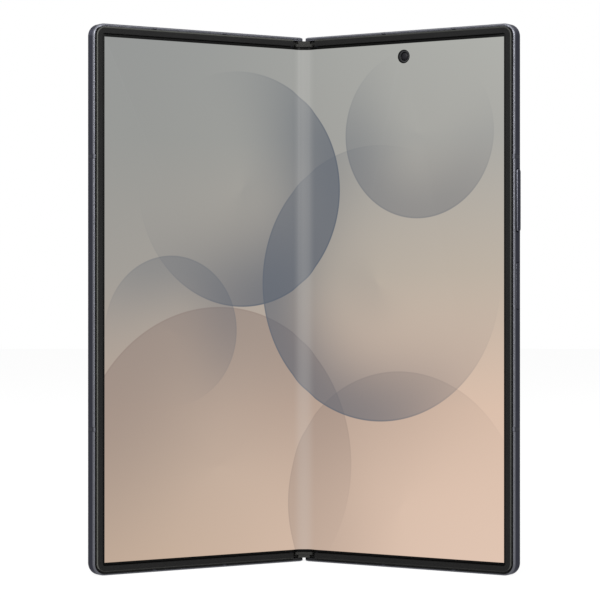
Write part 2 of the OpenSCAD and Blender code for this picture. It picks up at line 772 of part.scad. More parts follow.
// Right half
module right_frame() {
    color([0.27, 0.28, 0.33]) in_right() difference() {
        housing();
        antenna_slots();
        across(hole_x, hole_z, 0, half_t, hole_d / 2 + 1.5 * fit);
        key_bar(inner_x - past, half_w + past, key_y, volume_z - key_gap, volume_z + volume_len + key_gap,
            key_w + 2 * key_gap);
        key_bar(inner_x - past, half_w + past, key_y, side_z - key_gap, side_z + side_len + key_gap,
            key_w + 2 * key_gap);
        grille((speaker_x + speaker_out_x) / 2, 5);
        translate([antenna_xs[0] - mic_step, tray_y, -past]) cylinder(h = wall + 2 * past, r = mic_r);
        end_bar(port_x - port_w / 2 - port_t - 0.8 * fit, port_x + port_w / 2 + port_t + 0.8 * fit, port_y,
            -past, port_len + 4 * fit, port_h + 2 * port_t + 0.4 * fit);
    }
}
module right_bezel() {
    in_right() bezel();
}
module right_antenna_strips() {
    in_right() antenna_strips();
}
module right_display_panel() {
    color([0.66, 0.63, 0.6]) in_right() difference() {
        intersection() {
            screen_panel();
            past_bend();
        }
        across(hole_x, hole_z, -past, half_t, hole_d / 2);
    }
}
module right_display_plate() {
    color([0.5, 0.5, 0.52]) in_right() difference() {
        support_plate();
        across(hole_x, hole_z, 0, half_t, hole_d / 2 + 1.5 * fit);
    }
}
function lens_z(i) = island_z + (i - 2) * lens_step;
module rear_glass() {
    color([0.2, 0.21, 0.25]) in_right() difference() {
        pane();
        for (i = [1 : 3]) across(island_x, lens_z(i), 0, half_t + past, barrel_d / 2 + fit);
        across(island_x - flash_step, lens_z(3), 0, half_t + past, flash_d / 2 + fit);
    }
}
// Island with straight sides, round ends and a rounded edge
module camera_island() {
    color([0.25, 0.26, 0.3]) in_right() difference() {
        island_body();
        for (i = [1 : 3]) across(island_x, lens_z(i), 0, 2 * half_t, barrel_d / 2 + fit);
    }
}
module island_section() {
    translate([0, half_t]) square([island_w / 2, island_h - island_edge_r]);
    translate([0, half_t]) square([island_w / 2 - island_edge_r, island_h]);
    translate([island_w / 2 - island_edge_r, half_t + island_h - island_edge_r]) quarter(island_edge_r);
}
module island_body() {
    reach = (island_len - island_w) / 2;
    translate([island_x, 0, island_z - reach]) linear_extrude(2 * reach) {
        island_section();
        mirror([1, 0]) island_section();
    }
    for (z = [-reach, reach]) {
        translate([island_x, 0, island_z + z]) rotate([-90, 0, 0]) rotate_extrude() island_section();
    }
}
module lens_ring(i) {
    y0 = half_t + island_h;
    color([0.3, 0.31, 0.36]) in_right() translate([island_x, y0, lens_z(i)]) rotate([-90, 0, 0])
        rotate_extrude() polygon([
            [lens_ring_d / 2 - lens_ring_w, 0],
            [lens_ring_d / 2, 0],
            [lens_ring_d / 2, lens_ring_h * 0.6],
            [lens_ring_d / 2 - 0.25 * lens_ring_w, lens_ring_h],
            [lens_ring_d / 2 - 0.8 * lens_ring_w, lens_ring_h],
            [lens_ring_d / 2 - lens_ring_w, lens_ring_h * 0.7]
        ]);
}
module lens_ring_1() {
    lens_ring(1);
}
module lens_ring_2() {
    lens_ring(2);
}
module lens_ring_3() {
    lens_ring(3);
}
// Camera: its square body inside, its barrel through the pane and the island, its lens window on top
module camera_lens(i) {
    y0 = half_t + island_h;
    color([0.05, 0.05, 0.07]) in_right() translate([island_x, 0, lens_z(i)]) {
        translate([-camera_w / 2, part_y, -camera_w / 2]) cube([camera_w, camera_t, camera_w]);
        rotate([-90, 0, 0]) rotate_extrude() polygon([
            [0, part_y + camera_t / 2],
            [barrel_d / 2, part_y + camera_t / 2],
            [barrel_d / 2, y0],
            [lens_ring_d / 2 - lens_ring_w - fit / 2, y0],
            [lens_ring_d / 2 - lens_ring_w - fit / 2, y0 + lens_ring_h * 0.5],
            [0, y0 + lens_ring_h * 0.5]
        ]);
    }
}
module camera_lens_1() {
    camera_lens(1);
}
module camera_lens_2() {
    camera_lens(2);
}
module camera_lens_3() {
    camera_lens(3);
}
module flash_led() {
    color([0.95, 0.93, 0.8]) in_right() {
        across(island_x - flash_step, lens_z(3), part_y + board_t + part_gap, half_t, flash_d / 2);
    }
}
module front_camera() {
    color([0.04, 0.04, 0.05]) in_right() {
        across(hole_x, hole_z, screen_y + screen_gap, part_y + camera_t / 2, hole_d / 2 - glass_gap);
        camera_body(hole_x, hole_z, small_camera_w, part_y + camera_t);
    }
}
module main_board() {
    color([0.1, 0.3, 0.2]) in_right() difference() {
        notch = small_camera_w / 2 + camera_gap / 3;
        plate(board_x, main_board_x, main_board_z, main_board_top, part_y, board_back, screw_hole_r);
        box([hole_x - notch, 0, hole_z - notch], [hole_x + notch, half_t, height]);
        board_hole(board_x + hole_inset, main_board_z + hole_inset);
        board_hole(board_x + hole_inset, main_board_top - hole_inset);
    }
}
module board_shield() {
    color([0.7, 0.7, 0.72]) in_right() difference() {
        x0 = board_x + can_margin;
        w = main_can_x - x0;
        h = main_can_top - main_can_z;
        groove_x = x0 + 0.64 * w;
        y1 = board_back + shield_h;
        union() {
            can(x0, main_can_x, main_can_z, main_can_top, board_back, shield_h);
            can(x0 + 0.22 * w, x0 + 0.6 * w, main_can_z + 0.14 * h, main_can_z + 0.6 * h, y1, shield_h / 5);
        }
        box([groove_x, y1 - shield_h / 5, main_can_z - past],
            [groove_x + can_groove_w, half_t, main_can_top + past]);
    }
}
module right_battery() {
    color([0.15, 0.15, 0.16]) in_right() battery(board_x, part_out_x, right_battery_z, right_battery_top);
}
// Flat coil on its round ferrite sheet
module charging_coil() {
    coil_t = glass_y - part_y - battery_t - 1.5 * part_gap;
    spot = [(board_x + part_out_x) / 2, part_y + battery_t, (right_battery_z + right_battery_top) / 2];
    color([0.7, 0.45, 0.25]) in_right() translate(spot) rotate([-90, 0, 0]) {
        cylinder(h = 0.4 * coil_t, r = coil_d / 2 + ferrite_w);
        difference() {
            cylinder(h = coil_t, r = coil_d / 2);
            translate([0, 0, -past]) cylinder(h = coil_t + 2 * past, r = coil_hole_d / 2);
        }
    }
}
// Socket: a flat round-ended shell with a tongue
module usb_port() {
    color([0.6, 0.6, 0.63]) in_right() {
        difference() {
            end_bar(port_x - port_w / 2 - port_t, port_x + port_w / 2 + port_t, port_y, 0, port_len,
                port_h + 2 * port_t);
            end_bar(port_x - port_w / 2, port_x + port_w / 2, port_y, -past, port_len - port_back, port_h);
        }
        box([port_x - tongue_w / 2, port_y - tongue_t / 2, wall],
            [port_x + tongue_w / 2, port_y + tongue_t / 2, port_len - port_back / 2]);
    }
}
module lower_board() {
    color([0.1, 0.3, 0.2]) in_right() difference() {
        port_side = port_w / 2 + port_t + 4 * part_gap;
        plate(board_x, speaker_x - 2 * screw_hole_r, lower_board_z, speaker_top,
            part_y, board_back, screw_hole_r);
        box([port_x - port_side, 0, 0], [port_x + port_side, half_t, port_len + 4 * part_gap]);
        board_hole(board_x + hole_inset, speaker_top - hole_inset);
    }
}
module bottom_speaker() {
    color([0.16, 0.16, 0.17]) in_right() {
        speaker(speaker_x, speaker_out_x, wall + end_gap, speaker_top, 0.63, bottom_speaker_w / 3);
    }
}
// Key: a round-ended cap through the wall, on a foot whose ends reach past the slot and keep it in
module key(z0, len, proud) {
    foot_x = inner_x - key_foot_t - key_travel;
    foot_over = key_gap + 4 * fit;
    key_bar(inner_x - key_foot_t / 3, half_w + proud, key_y, z0, z0 + len, key_w);
    box([foot_x, part_y + part_gap, z0 - foot_over],
        [foot_x + key_foot_t, inside_back - 1.5 * part_gap, z0 + len + foot_over]);
    box([foot_x + key_foot_t / 2, key_y - key_w / 4, z0 + 0.7 * key_w],
        [inner_x, inside_back - 2 * part_gap, z0 + len - 0.7 * key_w]);
}
module volume_key() {
    color([0.27, 0.28, 0.33]) in_right() key(volume_z, volume_len, volume_proud);
}
module side_key() {
    color([0.27, 0.28, 0.33]) in_right() key(side_z, side_len, side_proud);
}
// Strip with the switches that the keys press
module key_flex() {
    x = inner_x - key_foot_t - key_travel - 3 * key_w / 8 - switch_h;
    color([0.55, 0.35, 0.15]) in_right() {
        box([x - flex_t, part_y, side_z + key_w / 2],
            [x, part_y + 0.7 * key_w, volume_z + volume_len - key_w / 2]);
        for (z = [side_z + side_len / 2, volume_z + volume_len * 0.2, volume_z + volume_len * 0.8]) {
            translate([x - flex_t / 2, part_y + 0.4 * key_w, z]) rotate([0, 90, 0])
                cylinder(h = switch_h + flex_t / 2, r = 0.28 * key_w);
        }
    }
}

// Hinge
// Outline of the spine: two arcs about the fold axes, joined by the flat back
module spine_outline(r) {
    for (x = [-pivot_x, pivot_x]) translate([x, pivot_y]) circle(r);
    translate([-pivot_x, pivot_y - r / 2]) square([2 * pivot_x, 1.5 * r]);
}
module spine_section(r, front) {
    intersection() {
        spine_outline(r);
        translate([-2 * spine_r, front]) square([4 * spine_r, half_t]);
    }
}
module spine_cover() {
    z0 = wall + spine_end_gap;
    notch_z = module_z + cheek_t;
    color([0.24, 0.25, 0.29]) in_hinge() difference() {
        translate([0, 0, z0]) linear_extrude(height - 2 * z0) spine_section(spine_r, pivot_y + spine_front);
        linear_extrude(height) spine_section(spine_r - spine_t, pivot_y - past);
        both_ends() {
            for (side = [0, 1]) mirror([side, 0, 0]) {
                box([pivot_x + rail_r + fit, pivot_y - past, notch_z],
                    [half_t + pivot_x, arm_back + fit, module_z + third_cheek_z]);
            }
        }
    }
}
// Cap between the ends of the rims: a plug in the spine with a T-shaped head
module end_cap() {
    low = wall + spine_end_gap;
    high = screen_z - screen_gap;
    shoulder = (low + high) / 2;
    color([0.07, 0.07, 0.07]) in_hinge() {
        translate([0, 0, low]) linear_extrude(high - low)
            spine_section(spine_in_r, pivot_y + 2 * fit);
        box([-cap_head_w / 2, fit, shoulder], [cap_head_w / 2, pivot_y + spine_t, high]);
        box([-cap_foot_w / 2, frame_front + fit, low], [cap_foot_w / 2, pivot_y + spine_t, high]);
    }
}
module end_cap_bottom() {
    end_cap();
}
module end_cap_top() {
    upside() end_cap();
}
// Bracket: base, cheeks, pins for the gears, cores that the rotators ride on, and friction washers
module hinge_bracket() {
    core_z = second_cheek_z + cheek_t - fit;
    color([0.55, 0.55, 0.57]) in_hinge() translate([0, 0, module_z]) {
        box([-pivot_x, spine_back - 1.9 * spine_t, 0], [pivot_x, spine_back - spine_t, module_len]);
        for (z = [0, second_cheek_z, third_cheek_z, last_cheek_z]) {
            translate([0, 0, z]) linear_extrude(cheek_t) spine_section(spine_in_r, pivot_y + 2.5 * fit);
        }
        for (x = [-3, -1, 1, 3]) {
            translate([x * gear_r, gear_y, 0]) cylinder(h = core_z, r = pin_r);
        }
        for (x = [-pivot_x, pivot_x]) {
            translate([x, pivot_y, core_z]) linear_extrude(third_cheek_z + fit - core_z) intersection() {
                circle(rail_r - rail_t - fit);
                translate([-rail_r, 1.5 * fit]) square([2 * rail_r, half_t]);
            }
        }
        for (x = [-gear_r, gear_r]) {
            translate([x, gear_y, third_cheek_z]) cylinder(h = last_cheek_z - third_cheek_z + fit, r = pin_r);
            for (i = [0 : washers - 1]) {
                translate([x, gear_y, washer_z + i * washer_step])
                    cylinder(h = washer_t, r = gear_r - 0.8 * fit);
            }
        }
    }
}
module hinge_bracket_lower() {
    hinge_bracket();
}
module hinge_bracket_upper() {
    upside() hinge_bracket();
}
// Spur gear about its own axis, with a tooth or a gap on the x axis.
// A flank is three points: a radius, and a share of the pitch away from the tooth's middle.
module gear(shift) {
    pitch = 360 / gear_teeth;
    difference() {
        linear_extrude(gear_len) polygon([
            for (i = [0 : gear_teeth - 1]) for (p = [
                [gear_root_r, -0.32], [gear_r, -0.2], [gear_tip_r, -0.09],
                [gear_tip_r, 0.09], [gear_r, 0.2], [gear_root_r, 0.32]
            ]) polar(p[0], (i + shift + p[1]) * pitch)
        ]);
        translate([0, 0, -past]) cylinder(h = gear_len + 2 * past, r = pin_r + pin_gap);
    }
}
module idler(side, shift) {
    color([0.75, 0.7, 0.55]) in_hinge() translate([side * gear_r, gear_y, module_z + gear_z]) gear(shift);
}
module idler_gear_left_lower() {
    idler(-1, 0.5);
}
module idler_gear_left_upper() {
    upside() idler_gear_left_lower();
}
module idler_gear_right_lower() {
    idler(1, 0);
}
module idler_gear_right_upper() {
    upside() idler_gear_right_lower();
}
// Sync arm: a gear that turns as its half does, with a bar that slides in the half's slot
module sync_arm(shift) {
    color([0.62, 0.62, 0.64]) translate([3 * gear_r, gear_y, module_z + gear_z]) {
        rotate([0, 0, -fold]) {
            gear(shift);
            difference() {
                box([gear_root_r - fit, arm_front - gear_y, 0],
                    [arm_end - 3 * gear_r, arm_back - gear_y, gear_len]);
                translate([0.7 * (arm_end - 3 * gear_r), 0, gear_len / 2]) rotate([-90, 0, 0])
                    cylinder(h = 2 * past, r = 2 * pin_r, center = true);
            }
        }
    }
}
module sync_arm_right_lower() {
    in_hinge() sync_arm(0.5 + fold * gear_teeth / 360);
}
module sync_arm_right_upper() {
    upside() sync_arm_right_lower();
}
module sync_arm_left_lower() {
    mirror([1, 0, 0]) in_hinge() sync_arm(fold * gear_teeth / 360);
}
module sync_arm_left_upper() {
    upside() sync_arm_left_lower();
}
// Rotator: a curved rail about the fold axis, on a flange that seats in the half.
// The flange rises to its seat beyond the dip that the bending screen makes.
module rotator() {
    start = 15;
    side_step = 2 * fit;
    rail_in = pivot_x + rail_r - rail_t;
    rail_out = pivot_x + rail_r;
    neck_front = pivot_y + 3 * fit;
    neck_back = pivot_y + 8.2 * fit;
    flange_front = mid_y + fit / 5;
    flange_back = inside_y + fit / 2;
    screw_in = rotator_len / 4;
    color([0.58, 0.58, 0.6]) translate([0, 0, module_z + rotator_z]) difference() {
        union() {
            translate([pivot_x, pivot_y, 0]) rotate([0, 0, start]) rotate_extrude(angle = rail_sweep - start)
                translate([rail_r - rail_t, 0]) square([rail_t, rotator_len]);
            translate([0, 0, side_step]) linear_extrude(rotator_len - 2 * side_step) polygon([
                [rail_in, neck_front + 0.8 * fit],
                [rail_out + fit / 2, neck_front],
                [groove_in_x - 6.5 * fit, flange_front],
                [arm_end, flange_front],
                [arm_end, flange_back],
                [groove_in_x - 9.5 * fit, flange_back],
                [rail_out + 1.5 * fit, neck_back],
                [rail_in, neck_back]
            ]);
        }
        for (z = [screw_in, rotator_len - screw_in]) across(arm_end - screw_in, z, 0, half_t, 1.5 * pin_r);
    }
}
module rotator_right_lower() {
    in_right() rotator();
}
module rotator_right_upper() {
    upside() rotator_right_lower();
}
module rotator_left_lower() {
    in_left() rotator();
}
module rotator_left_upper() {
    upside() rotator_left_lower();
}
// Wing plate: a leaf under the bend, hinged on the half's groove
module wing_plate() {
    tilt = fold * wing_ratio;
    color([0.66, 0.66, 0.68]) translate([wing_pivot_x, wing_pivot_y, 0]) rotate([0, 0, -tilt]) {
        translate([0, 0, wing_z]) cylinder(h = height - 2 * wing_z, r = wing_barrel_r);
        difference() {
            box([wing_free_x - wing_pivot_x, -wing_barrel_r, wing_z],
                [0, wing_t - wing_barrel_r, height - wing_z]);
            for (z = [wing_z + wing_hole_step : wing_hole_step : height - wing_z - wing_hole_step / 2]) {
                across(-0.6 * wing_pivot_x, z, -past, past, wing_hole_r);
            }
        }
    }
}
module wing_plate_right() {
    in_right() wing_plate();
}
module wing_plate_left() {
    in_left() wing_plate();
}
// The part of the screen that bends over the hinge
module display_bend() {
    steps = 14;
    xs = [for (i = [-steps : steps]) bend_half * i / steps];
    color([0.6, 0.58, 0.56]) in_hinge() translate([0, 0, screen_z]) linear_extrude(height - 2 * screen_z)
        polygon([
            for (x = xs) bent(x, screen_y),
            for (i = [len(xs) - 1 : -1 : 0]) bent(xs[i], plate_y)
        ]);
}

left_frame();
left_bezel();
left_antenna_strips();
left_display_panel();
left_display_plate();
cover_glass();
cover_display();
cover_camera();
left_battery();
left_board();
vibration_motor();
top_speaker();
sim_tray();
sim_card();
right_frame();
right_bezel();
right_antenna_strips();
right_display_panel();
right_display_plate();
rear_glass();
camera_island();
lens_ring_1();
lens_ring_2();
lens_ring_3();
camera_lens_1();
camera_lens_2();
camera_lens_3();
flash_led();
front_camera();
main_board();
board_shield();
right_battery();
charging_coil();
usb_port();
lower_board();
bottom_speaker();
volume_key();
side_key();
key_flex();
spine_cover();
end_cap_top();
end_cap_bottom();
hinge_bracket_upper();
hinge_bracket_lower();
display_bend();
idler_gear_left_upper();
idler_gear_left_lower();
idler_gear_right_upper();
idler_gear_right_lower();
sync_arm_left_upper();
sync_arm_left_lower();
sync_arm_right_upper();
sync_arm_right_lower();
rotator_left_upper();
rotator_left_lower();
rotator_right_upper();
rotator_right_lower();
wing_plate_left();
wing_plate_right();
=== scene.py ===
# %% [markdown]
# A foldable smartphone stands half open on its bottom edge. The solids of its frames, hinge and inner parts
# arrive ready made, in metres, each in its place. This script gives them their finishes and makes what
# solids can't show: a lit screen that bends, lens stacks, gauze, contacts and ribs.
# The measured frame is loaded first, so that nothing below has to be fitted by eye.

# %% Load the measured frame
import json
import math

import bmesh
import bpy
from mathutils import Matrix, Vector

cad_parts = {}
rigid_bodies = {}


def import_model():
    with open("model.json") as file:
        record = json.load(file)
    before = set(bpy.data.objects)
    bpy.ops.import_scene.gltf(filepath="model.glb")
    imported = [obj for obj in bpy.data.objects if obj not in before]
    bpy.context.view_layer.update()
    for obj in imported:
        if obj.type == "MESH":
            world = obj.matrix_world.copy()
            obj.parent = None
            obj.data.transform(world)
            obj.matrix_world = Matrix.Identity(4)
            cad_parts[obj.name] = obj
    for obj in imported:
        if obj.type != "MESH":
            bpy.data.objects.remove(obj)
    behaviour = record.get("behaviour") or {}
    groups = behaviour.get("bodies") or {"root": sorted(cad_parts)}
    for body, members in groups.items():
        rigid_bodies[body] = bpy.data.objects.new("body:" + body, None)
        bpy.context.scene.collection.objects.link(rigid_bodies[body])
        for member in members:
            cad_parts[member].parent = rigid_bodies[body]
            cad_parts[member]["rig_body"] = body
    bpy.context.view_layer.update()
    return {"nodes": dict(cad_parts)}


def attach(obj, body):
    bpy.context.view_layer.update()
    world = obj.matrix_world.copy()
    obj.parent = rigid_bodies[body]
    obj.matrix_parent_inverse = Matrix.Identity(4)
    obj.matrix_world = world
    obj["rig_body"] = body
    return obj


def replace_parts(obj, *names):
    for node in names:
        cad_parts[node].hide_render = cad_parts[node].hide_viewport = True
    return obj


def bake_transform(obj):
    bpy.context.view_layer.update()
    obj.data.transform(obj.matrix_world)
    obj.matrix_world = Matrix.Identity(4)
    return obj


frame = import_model()
solid = frame["nodes"]

# %% [markdown]
# Both halves are the same plate, swung by the same angle about two lines inside the spine. A maker draws
# such a part lying flat and swings it at the end. So every piece here is laid out in millimetres on a flat
# half: x runs outward from the hinge, y from the rim to the back, z up. One matrix then swings it.
# The left half is the mirror image, which turns a shape inside out, so its faces are flipped back.

# %% Lay pieces out flat, then swing them
MM = 0.001
FOLD = math.radians(32.5)
PIVOT = Vector((1.375, 1.125, 0))
REST_Y = 16.45724
HEIGHT, HALF_W, HALF_T = 158.4, 71.6, 4.2
SPINE, RIGHT, LEFT = 0, 1, -1


def swing(side):
    """Carries flat millimetres to resting metres."""
    place = Matrix.Scale(MM, 4) @ Matrix.Translation((0, REST_Y, 0))
    if side == SPINE:
        return place
    turn = Matrix.Translation(PIVOT) @ Matrix.Rotation(-FOLD, 4, "Z") @ Matrix.Translation(-PIVOT)
    return Matrix.Diagonal((side, 1, 1, 1)) @ place @ turn


def lay(mesh, side):
    mesh.transform(swing(side))
    if side == LEFT:
        mesh.flip_normals()


corner = swing(RIGHT) @ Vector((HALF_W, 0.25, 0))
print(f"the outer front corner rests at x {corner.x / MM:.2f}, y {corner.y / MM:.2f} mm")

# %% [markdown]
# A finish in Blender is a chain of nodes, and sums in it are Math nodes. Written node by node, a sum is
# hard to read. Here a small class wraps one socket and overloads the signs, so that `1 - wear * 0.5` lays
# down its Math nodes by itself. Every other node, of a finish or of a geometry tree, comes from one method.

# %% Write node sums as plain expressions
class Wire:
    """One socket of a node tree. Signs on wires add Math nodes."""

    def __init__(self, tree, socket=None):
        self.tree, self.socket = tree, socket

    def node(self, kind, settings=(), out=0, **inputs):
        """Adds a node: its settings first, then its sockets, by name or as _number."""
        made = self.tree.nodes.new(kind)
        for name, value in dict(settings).items():
            if name == "stops":
                while len(made.color_ramp.elements) < len(value):
                    made.color_ramp.elements.new(0.5)
                for stop, (at, colour) in zip(made.color_ramp.elements, value):
                    stop.position, stop.color = at, (*colour[:3], 1)
            else:
                setattr(made, name, value)
        for name, value in inputs.items():
            socket = made.inputs[int(name[1:]) if name[0] == "_" else name.replace("_", " ")]
            if isinstance(value, Wire):
                self.tree.links.new(value.socket, socket)
            else:
                socket.default_value = value
        return Wire(self.tree, made.outputs[out] if made.outputs else None)

    def sum(self, operation, *values):
        numbered = {f"_{i}": value for i, value in enumerate(values)}
        return self.node("ShaderNodeMath", {"operation": operation}, **numbered)

    def __add__(self, other):
        return self.sum("ADD", self, other)

    __radd__ = __add__

    def __mul__(self, other):
        return self.sum("MULTIPLY", self, other)

    __rmul__ = __mul__

    def __sub__(self, other):
        return self.sum("SUBTRACT", self, other)

    def __rsub__(self, other):
        return self.sum("SUBTRACT", other, self)

    def __truediv__(self, other):
        return self.sum("DIVIDE", self, other)

    def __abs__(self):
        return self.sum("ABSOLUTE", self)

    def at_least(self, other):
        return self.sum("MAXIMUM", self, other)

    def at_most(self, other):
        return self.sum("MINIMUM", self, other)

    def sine(self):
        return self.sum("SINE", self)

    def root(self):
        return self.sum("SQRT", self)

    def wrapped(self, step):
        """Distance from the nearest multiple of step."""
        return self.sum("WRAP", self, step / 2, -step / 2)

    def rise(self, low, high):
        """0 below low, 1 above high, smooth between."""
        return self.node("ShaderNodeMapRange", {"interpolation_type": "SMOOTHSTEP"},
                         Value=self, From_Min=low, From_Max=high)

    def parts(self):
        """The three parts of a vector."""
        split = self.node("ShaderNodeSeparateXYZ", Vector=self).socket.node
        return [Wire(self.tree, part) for part in split.outputs]

    def mix(self, low, high):
        """Two colours, mixed by this wire."""
        return self.node("ShaderNodeMix", {"data_type": "RGBA"}, out=2, _0=self, _6=low, _7=high)


def rgb(r, g, b):
    """A colour as a screen shows it, from 0 to 255, as Blender's light."""
    light = [(c / 255 / 12.92) if c < 10.3 else ((c / 255 + 0.055) / 1.055) ** 2.4 for c in (r, g, b)]
    return (*light, 1)


print("mid grey as light:", round(rgb(128, 128, 128)[0], 3))

# %% [markdown]
# A pattern stays put on a part only if it is drawn in the part's own coordinates. Object coordinates do
# that, but they follow the resting pose, in which the halves stand askew. A Mapping node swings them back
# flat, so that "the front edge" is simply "y is small". Reading the normal the same way finds rounded
# edges: there it is neither level with the face nor square to it.

# %% Read flat coordinates inside a finish
CORNER_R = 3.6


def flat(wire, side):
    """Millimetres on the flat half, or on the spine."""
    turn = 0 if side == SPINE else FOLD
    here = Vector((PIVOT.x, PIVOT.y + REST_Y, 0))
    shift = Vector((0, -REST_Y, 0)) if side == SPINE else PIVOT - Matrix.Rotation(FOLD, 3, "Z") @ here
    scale = (-1 / MM if side == LEFT else 1 / MM, 1 / MM, 1 / MM)
    spot = wire.node("ShaderNodeTexCoord", out=3)
    return wire.node("ShaderNodeMapping", Vector=spot, Location=shift, Rotation=(0, 0, turn), Scale=scale)


def level(wire, side):
    """1 on faces that look to the front or the back, 0 on faces square to them."""
    nx, ny, _ = wire.node("ShaderNodeTexCoord", out=1).parts()
    lean = nx * (side * math.sin(FOLD)) + ny * math.cos(FOLD)
    return lean * lean


def rounding(wire, side):
    """1 on rounded front and back edges, 0 on flat faces."""
    square = level(wire, side)
    return (4 * square * (1 - square)).rise(0.15, 0.9)


def edge_in(spot):
    """Millimetres in from the outer edge of a half, also round its corners."""
    x, _, z = spot.parts()
    across = (x - HALF_W + CORNER_R).at_least(0)
    along = (abs(z - HEIGHT / 2) - HEIGHT / 2 + CORNER_R).at_least(0)
    return CORNER_R - (across * across + along * along).root()


def cloud(wire, spot, size, detail=2.0, rough=0.5):
    """Even noise from 0 to 1 whose blots are about size millimetres across."""
    return wire.node("ShaderNodeTexNoise", Vector=spot, Scale=1 / size, Detail=detail, Roughness=rough)


def stretched(wire, spot, x, y, z):
    """The same spot, drawn out along each axis whose number is below 1."""
    return wire.node("ShaderNodeVectorMath", {"operation": "MULTIPLY"}, _0=spot, _1=(x, y, z))


# %% [markdown]
# Every finish ends in the same place: a colour, a roughness and a little relief on one shader. So one
# function closes them all. What is the same everywhere, such as the coat, is set on the shader itself.
# Relief is given in millimetres, because that is how a maker measures grain. Small plain parts need no more
# than one grain that tints, dulls and roughens them, and grained() writes such a recipe from its sizes.

# %% Close a finish
finishes = {}


def finish(name, side, recipe, **constants):
    """Makes a finish from recipe(wire, spot, side), which returns colour, roughness and relief."""
    key = f"{name}_{('spine', 'right', 'left')[side]}"
    if key in finishes:
        return finishes[key]
    made = bpy.data.materials.new(key)
    made.use_nodes = True
    tree = made.node_tree
    tree.nodes.clear()
    wire = Wire(tree)
    varied = recipe(wire, flat(wire, side), side)
    relief = varied.pop("relief", None)
    if relief is not None:
        varied["Normal"] = wire.node("ShaderNodeBump", Height=relief, Distance=MM, Strength=1.0)
    values = {socket.replace(" ", "_"): value for socket, value in {**constants, **varied}.items()}
    shader = wire.node("ShaderNodeBsdfPrincipled", **values)
    wire.node("ShaderNodeOutputMaterial", Surface=shader)
    finishes[key] = made
    return made


def grained(size, detail, low, high, dull, duller, relief=0.0, crisp=0.5):
    """A recipe of one grain, from colour low to high, with roughness dull to dull + duller."""
    def recipe(wire, spot, side):
        grain = cloud(wire, spot, size, detail, crisp)
        made = {"Base Color": grain.mix(rgb(*low), rgb(*high)), "Roughness": dull + grain * duller}
        return {**made, "relief": grain * relief} if relief else made
    return recipe


def dress(nodes, name, recipe, **constants):
    """Gives CAD nodes a finish, laid out on the body that each rides on."""
    for node in nodes.split():
        body = solid[node]["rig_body"]
        side = LEFT if body in ("left_half", "sim_tray", "left_wing") else SPINE
        side = RIGHT if body in ("right_half", "volume_key", "side_key", "right_wing") else side
        for slot in solid[node].material_slots:
            slot.material = finish(name, side, recipe, **constants)
    print(f"{name}: {nodes}")


# %% [markdown]
# The frame is aluminium, blasted with fine beads and then dyed dark slate in the anodising bath. The blast
# leaves grain far below a tenth of a millimetre and the bath leaves faint clouds. The front edge is cut
# once more with a polished tool before dyeing, and it shows as a bright line round the screen, partly
# polished metal and partly a painted highlight in its colour. A flat grey would lose all three, so each is
# a layer here. The edges that a hand rubs are a touch lighter still. The narrow seam between the frame and
# the raised rim, and the lip's inner edge, are painted near black as shade. Bare metal turns white where it
# is seen at a flat angle. The dyed skin swallows half of that, which the specular tint stands for.

# %% Slate aluminium for the frames, keys and tray
# The colour of the polished cut edge, lightened into a painted highlight.
CUT_EDGE_HIGHLIGHT = rgb(92, 93, 99)
CUT_DEPTH, CUT_FADE = 0.75, 1.35
# Where the seam by the rim and the lip's inner edge are painted near black, as shade.
SEAM_SHADE_IN, SEAM_SHADE_DEPTH, SEAM_SHADE_END = 0.35, 1.0, HEIGHT - 1.4
DYED = (0.55, 0.55, 0.58, 1)


def slate(wire, spot, side):
    _, y, z = spot.parts()
    bath = cloud(wire, spot, 22, 3)
    grain = cloud(wire, spot, 0.06, 3, 0.7)
    # The front band takes the cut edge's colour: a polished cut and a painted highlight.
    front = 1 - y.rise(CUT_DEPTH, CUT_FADE)
    # The seam by the rim and the lip's inner edge, painted near black as shade.
    seam = edge_in(spot).rise(SEAM_SHADE_IN, SEAM_SHADE_IN + 0.04) * (1 - y.rise(SEAM_SHADE_DEPTH, SEAM_SHADE_DEPTH + 0.2))
    seam = seam * (1 - z.rise(SEAM_SHADE_END, SEAM_SHADE_END + 0.4))
    edge_wear_and_highlight = rounding(wire, side) * cloud(wire, spot, 2.4, 3, 0.6).rise(0.42, 0.75) * (1 - front)
    body = (bath * 0.7 + grain * 0.3).mix(rgb(46, 47, 54), rgb(56, 57, 64))
    worn = (edge_wear_and_highlight * 0.2).mix(body, rgb(112, 114, 122))
    return {
        "Base Color": seam.mix(front.mix(worn, CUT_EDGE_HIGHLIGHT), rgb(4, 4, 4)),
        "Metallic": 1 - seam,
        "Roughness": 0.34 + grain * 0.08 + edge_wear_and_highlight * 0.06 + seam * 0.3,
        "relief": (grain * 0.0008 + cloud(wire, spot, 0.5) * 0.0004) * (1 - front),
    }


dress("left_frame right_frame sim_tray volume_key side_key", "slate", slate, Specular_Tint=DYED)

# %% [markdown]
# Antennas need gaps in the metal. The gaps are filled with a hard plastic. It is dyed to match and loaded
# with mica flakes, so it shines almost like the metal and only looks a little greyer and flatter. Where it
# meets the metal, a hair-thin dark line stays. Both are drawn by the distance from the break's middle. Along
# the front edge its colour moves toward the frame's cut edge, a painted highlight.

# %% Plastic for the antenna breaks
BREAK_W, BREAK_LINE = 1.3, 0.1
BREAK_ZS, BREAK_XS = (42, 120.2), (28, 51.6)


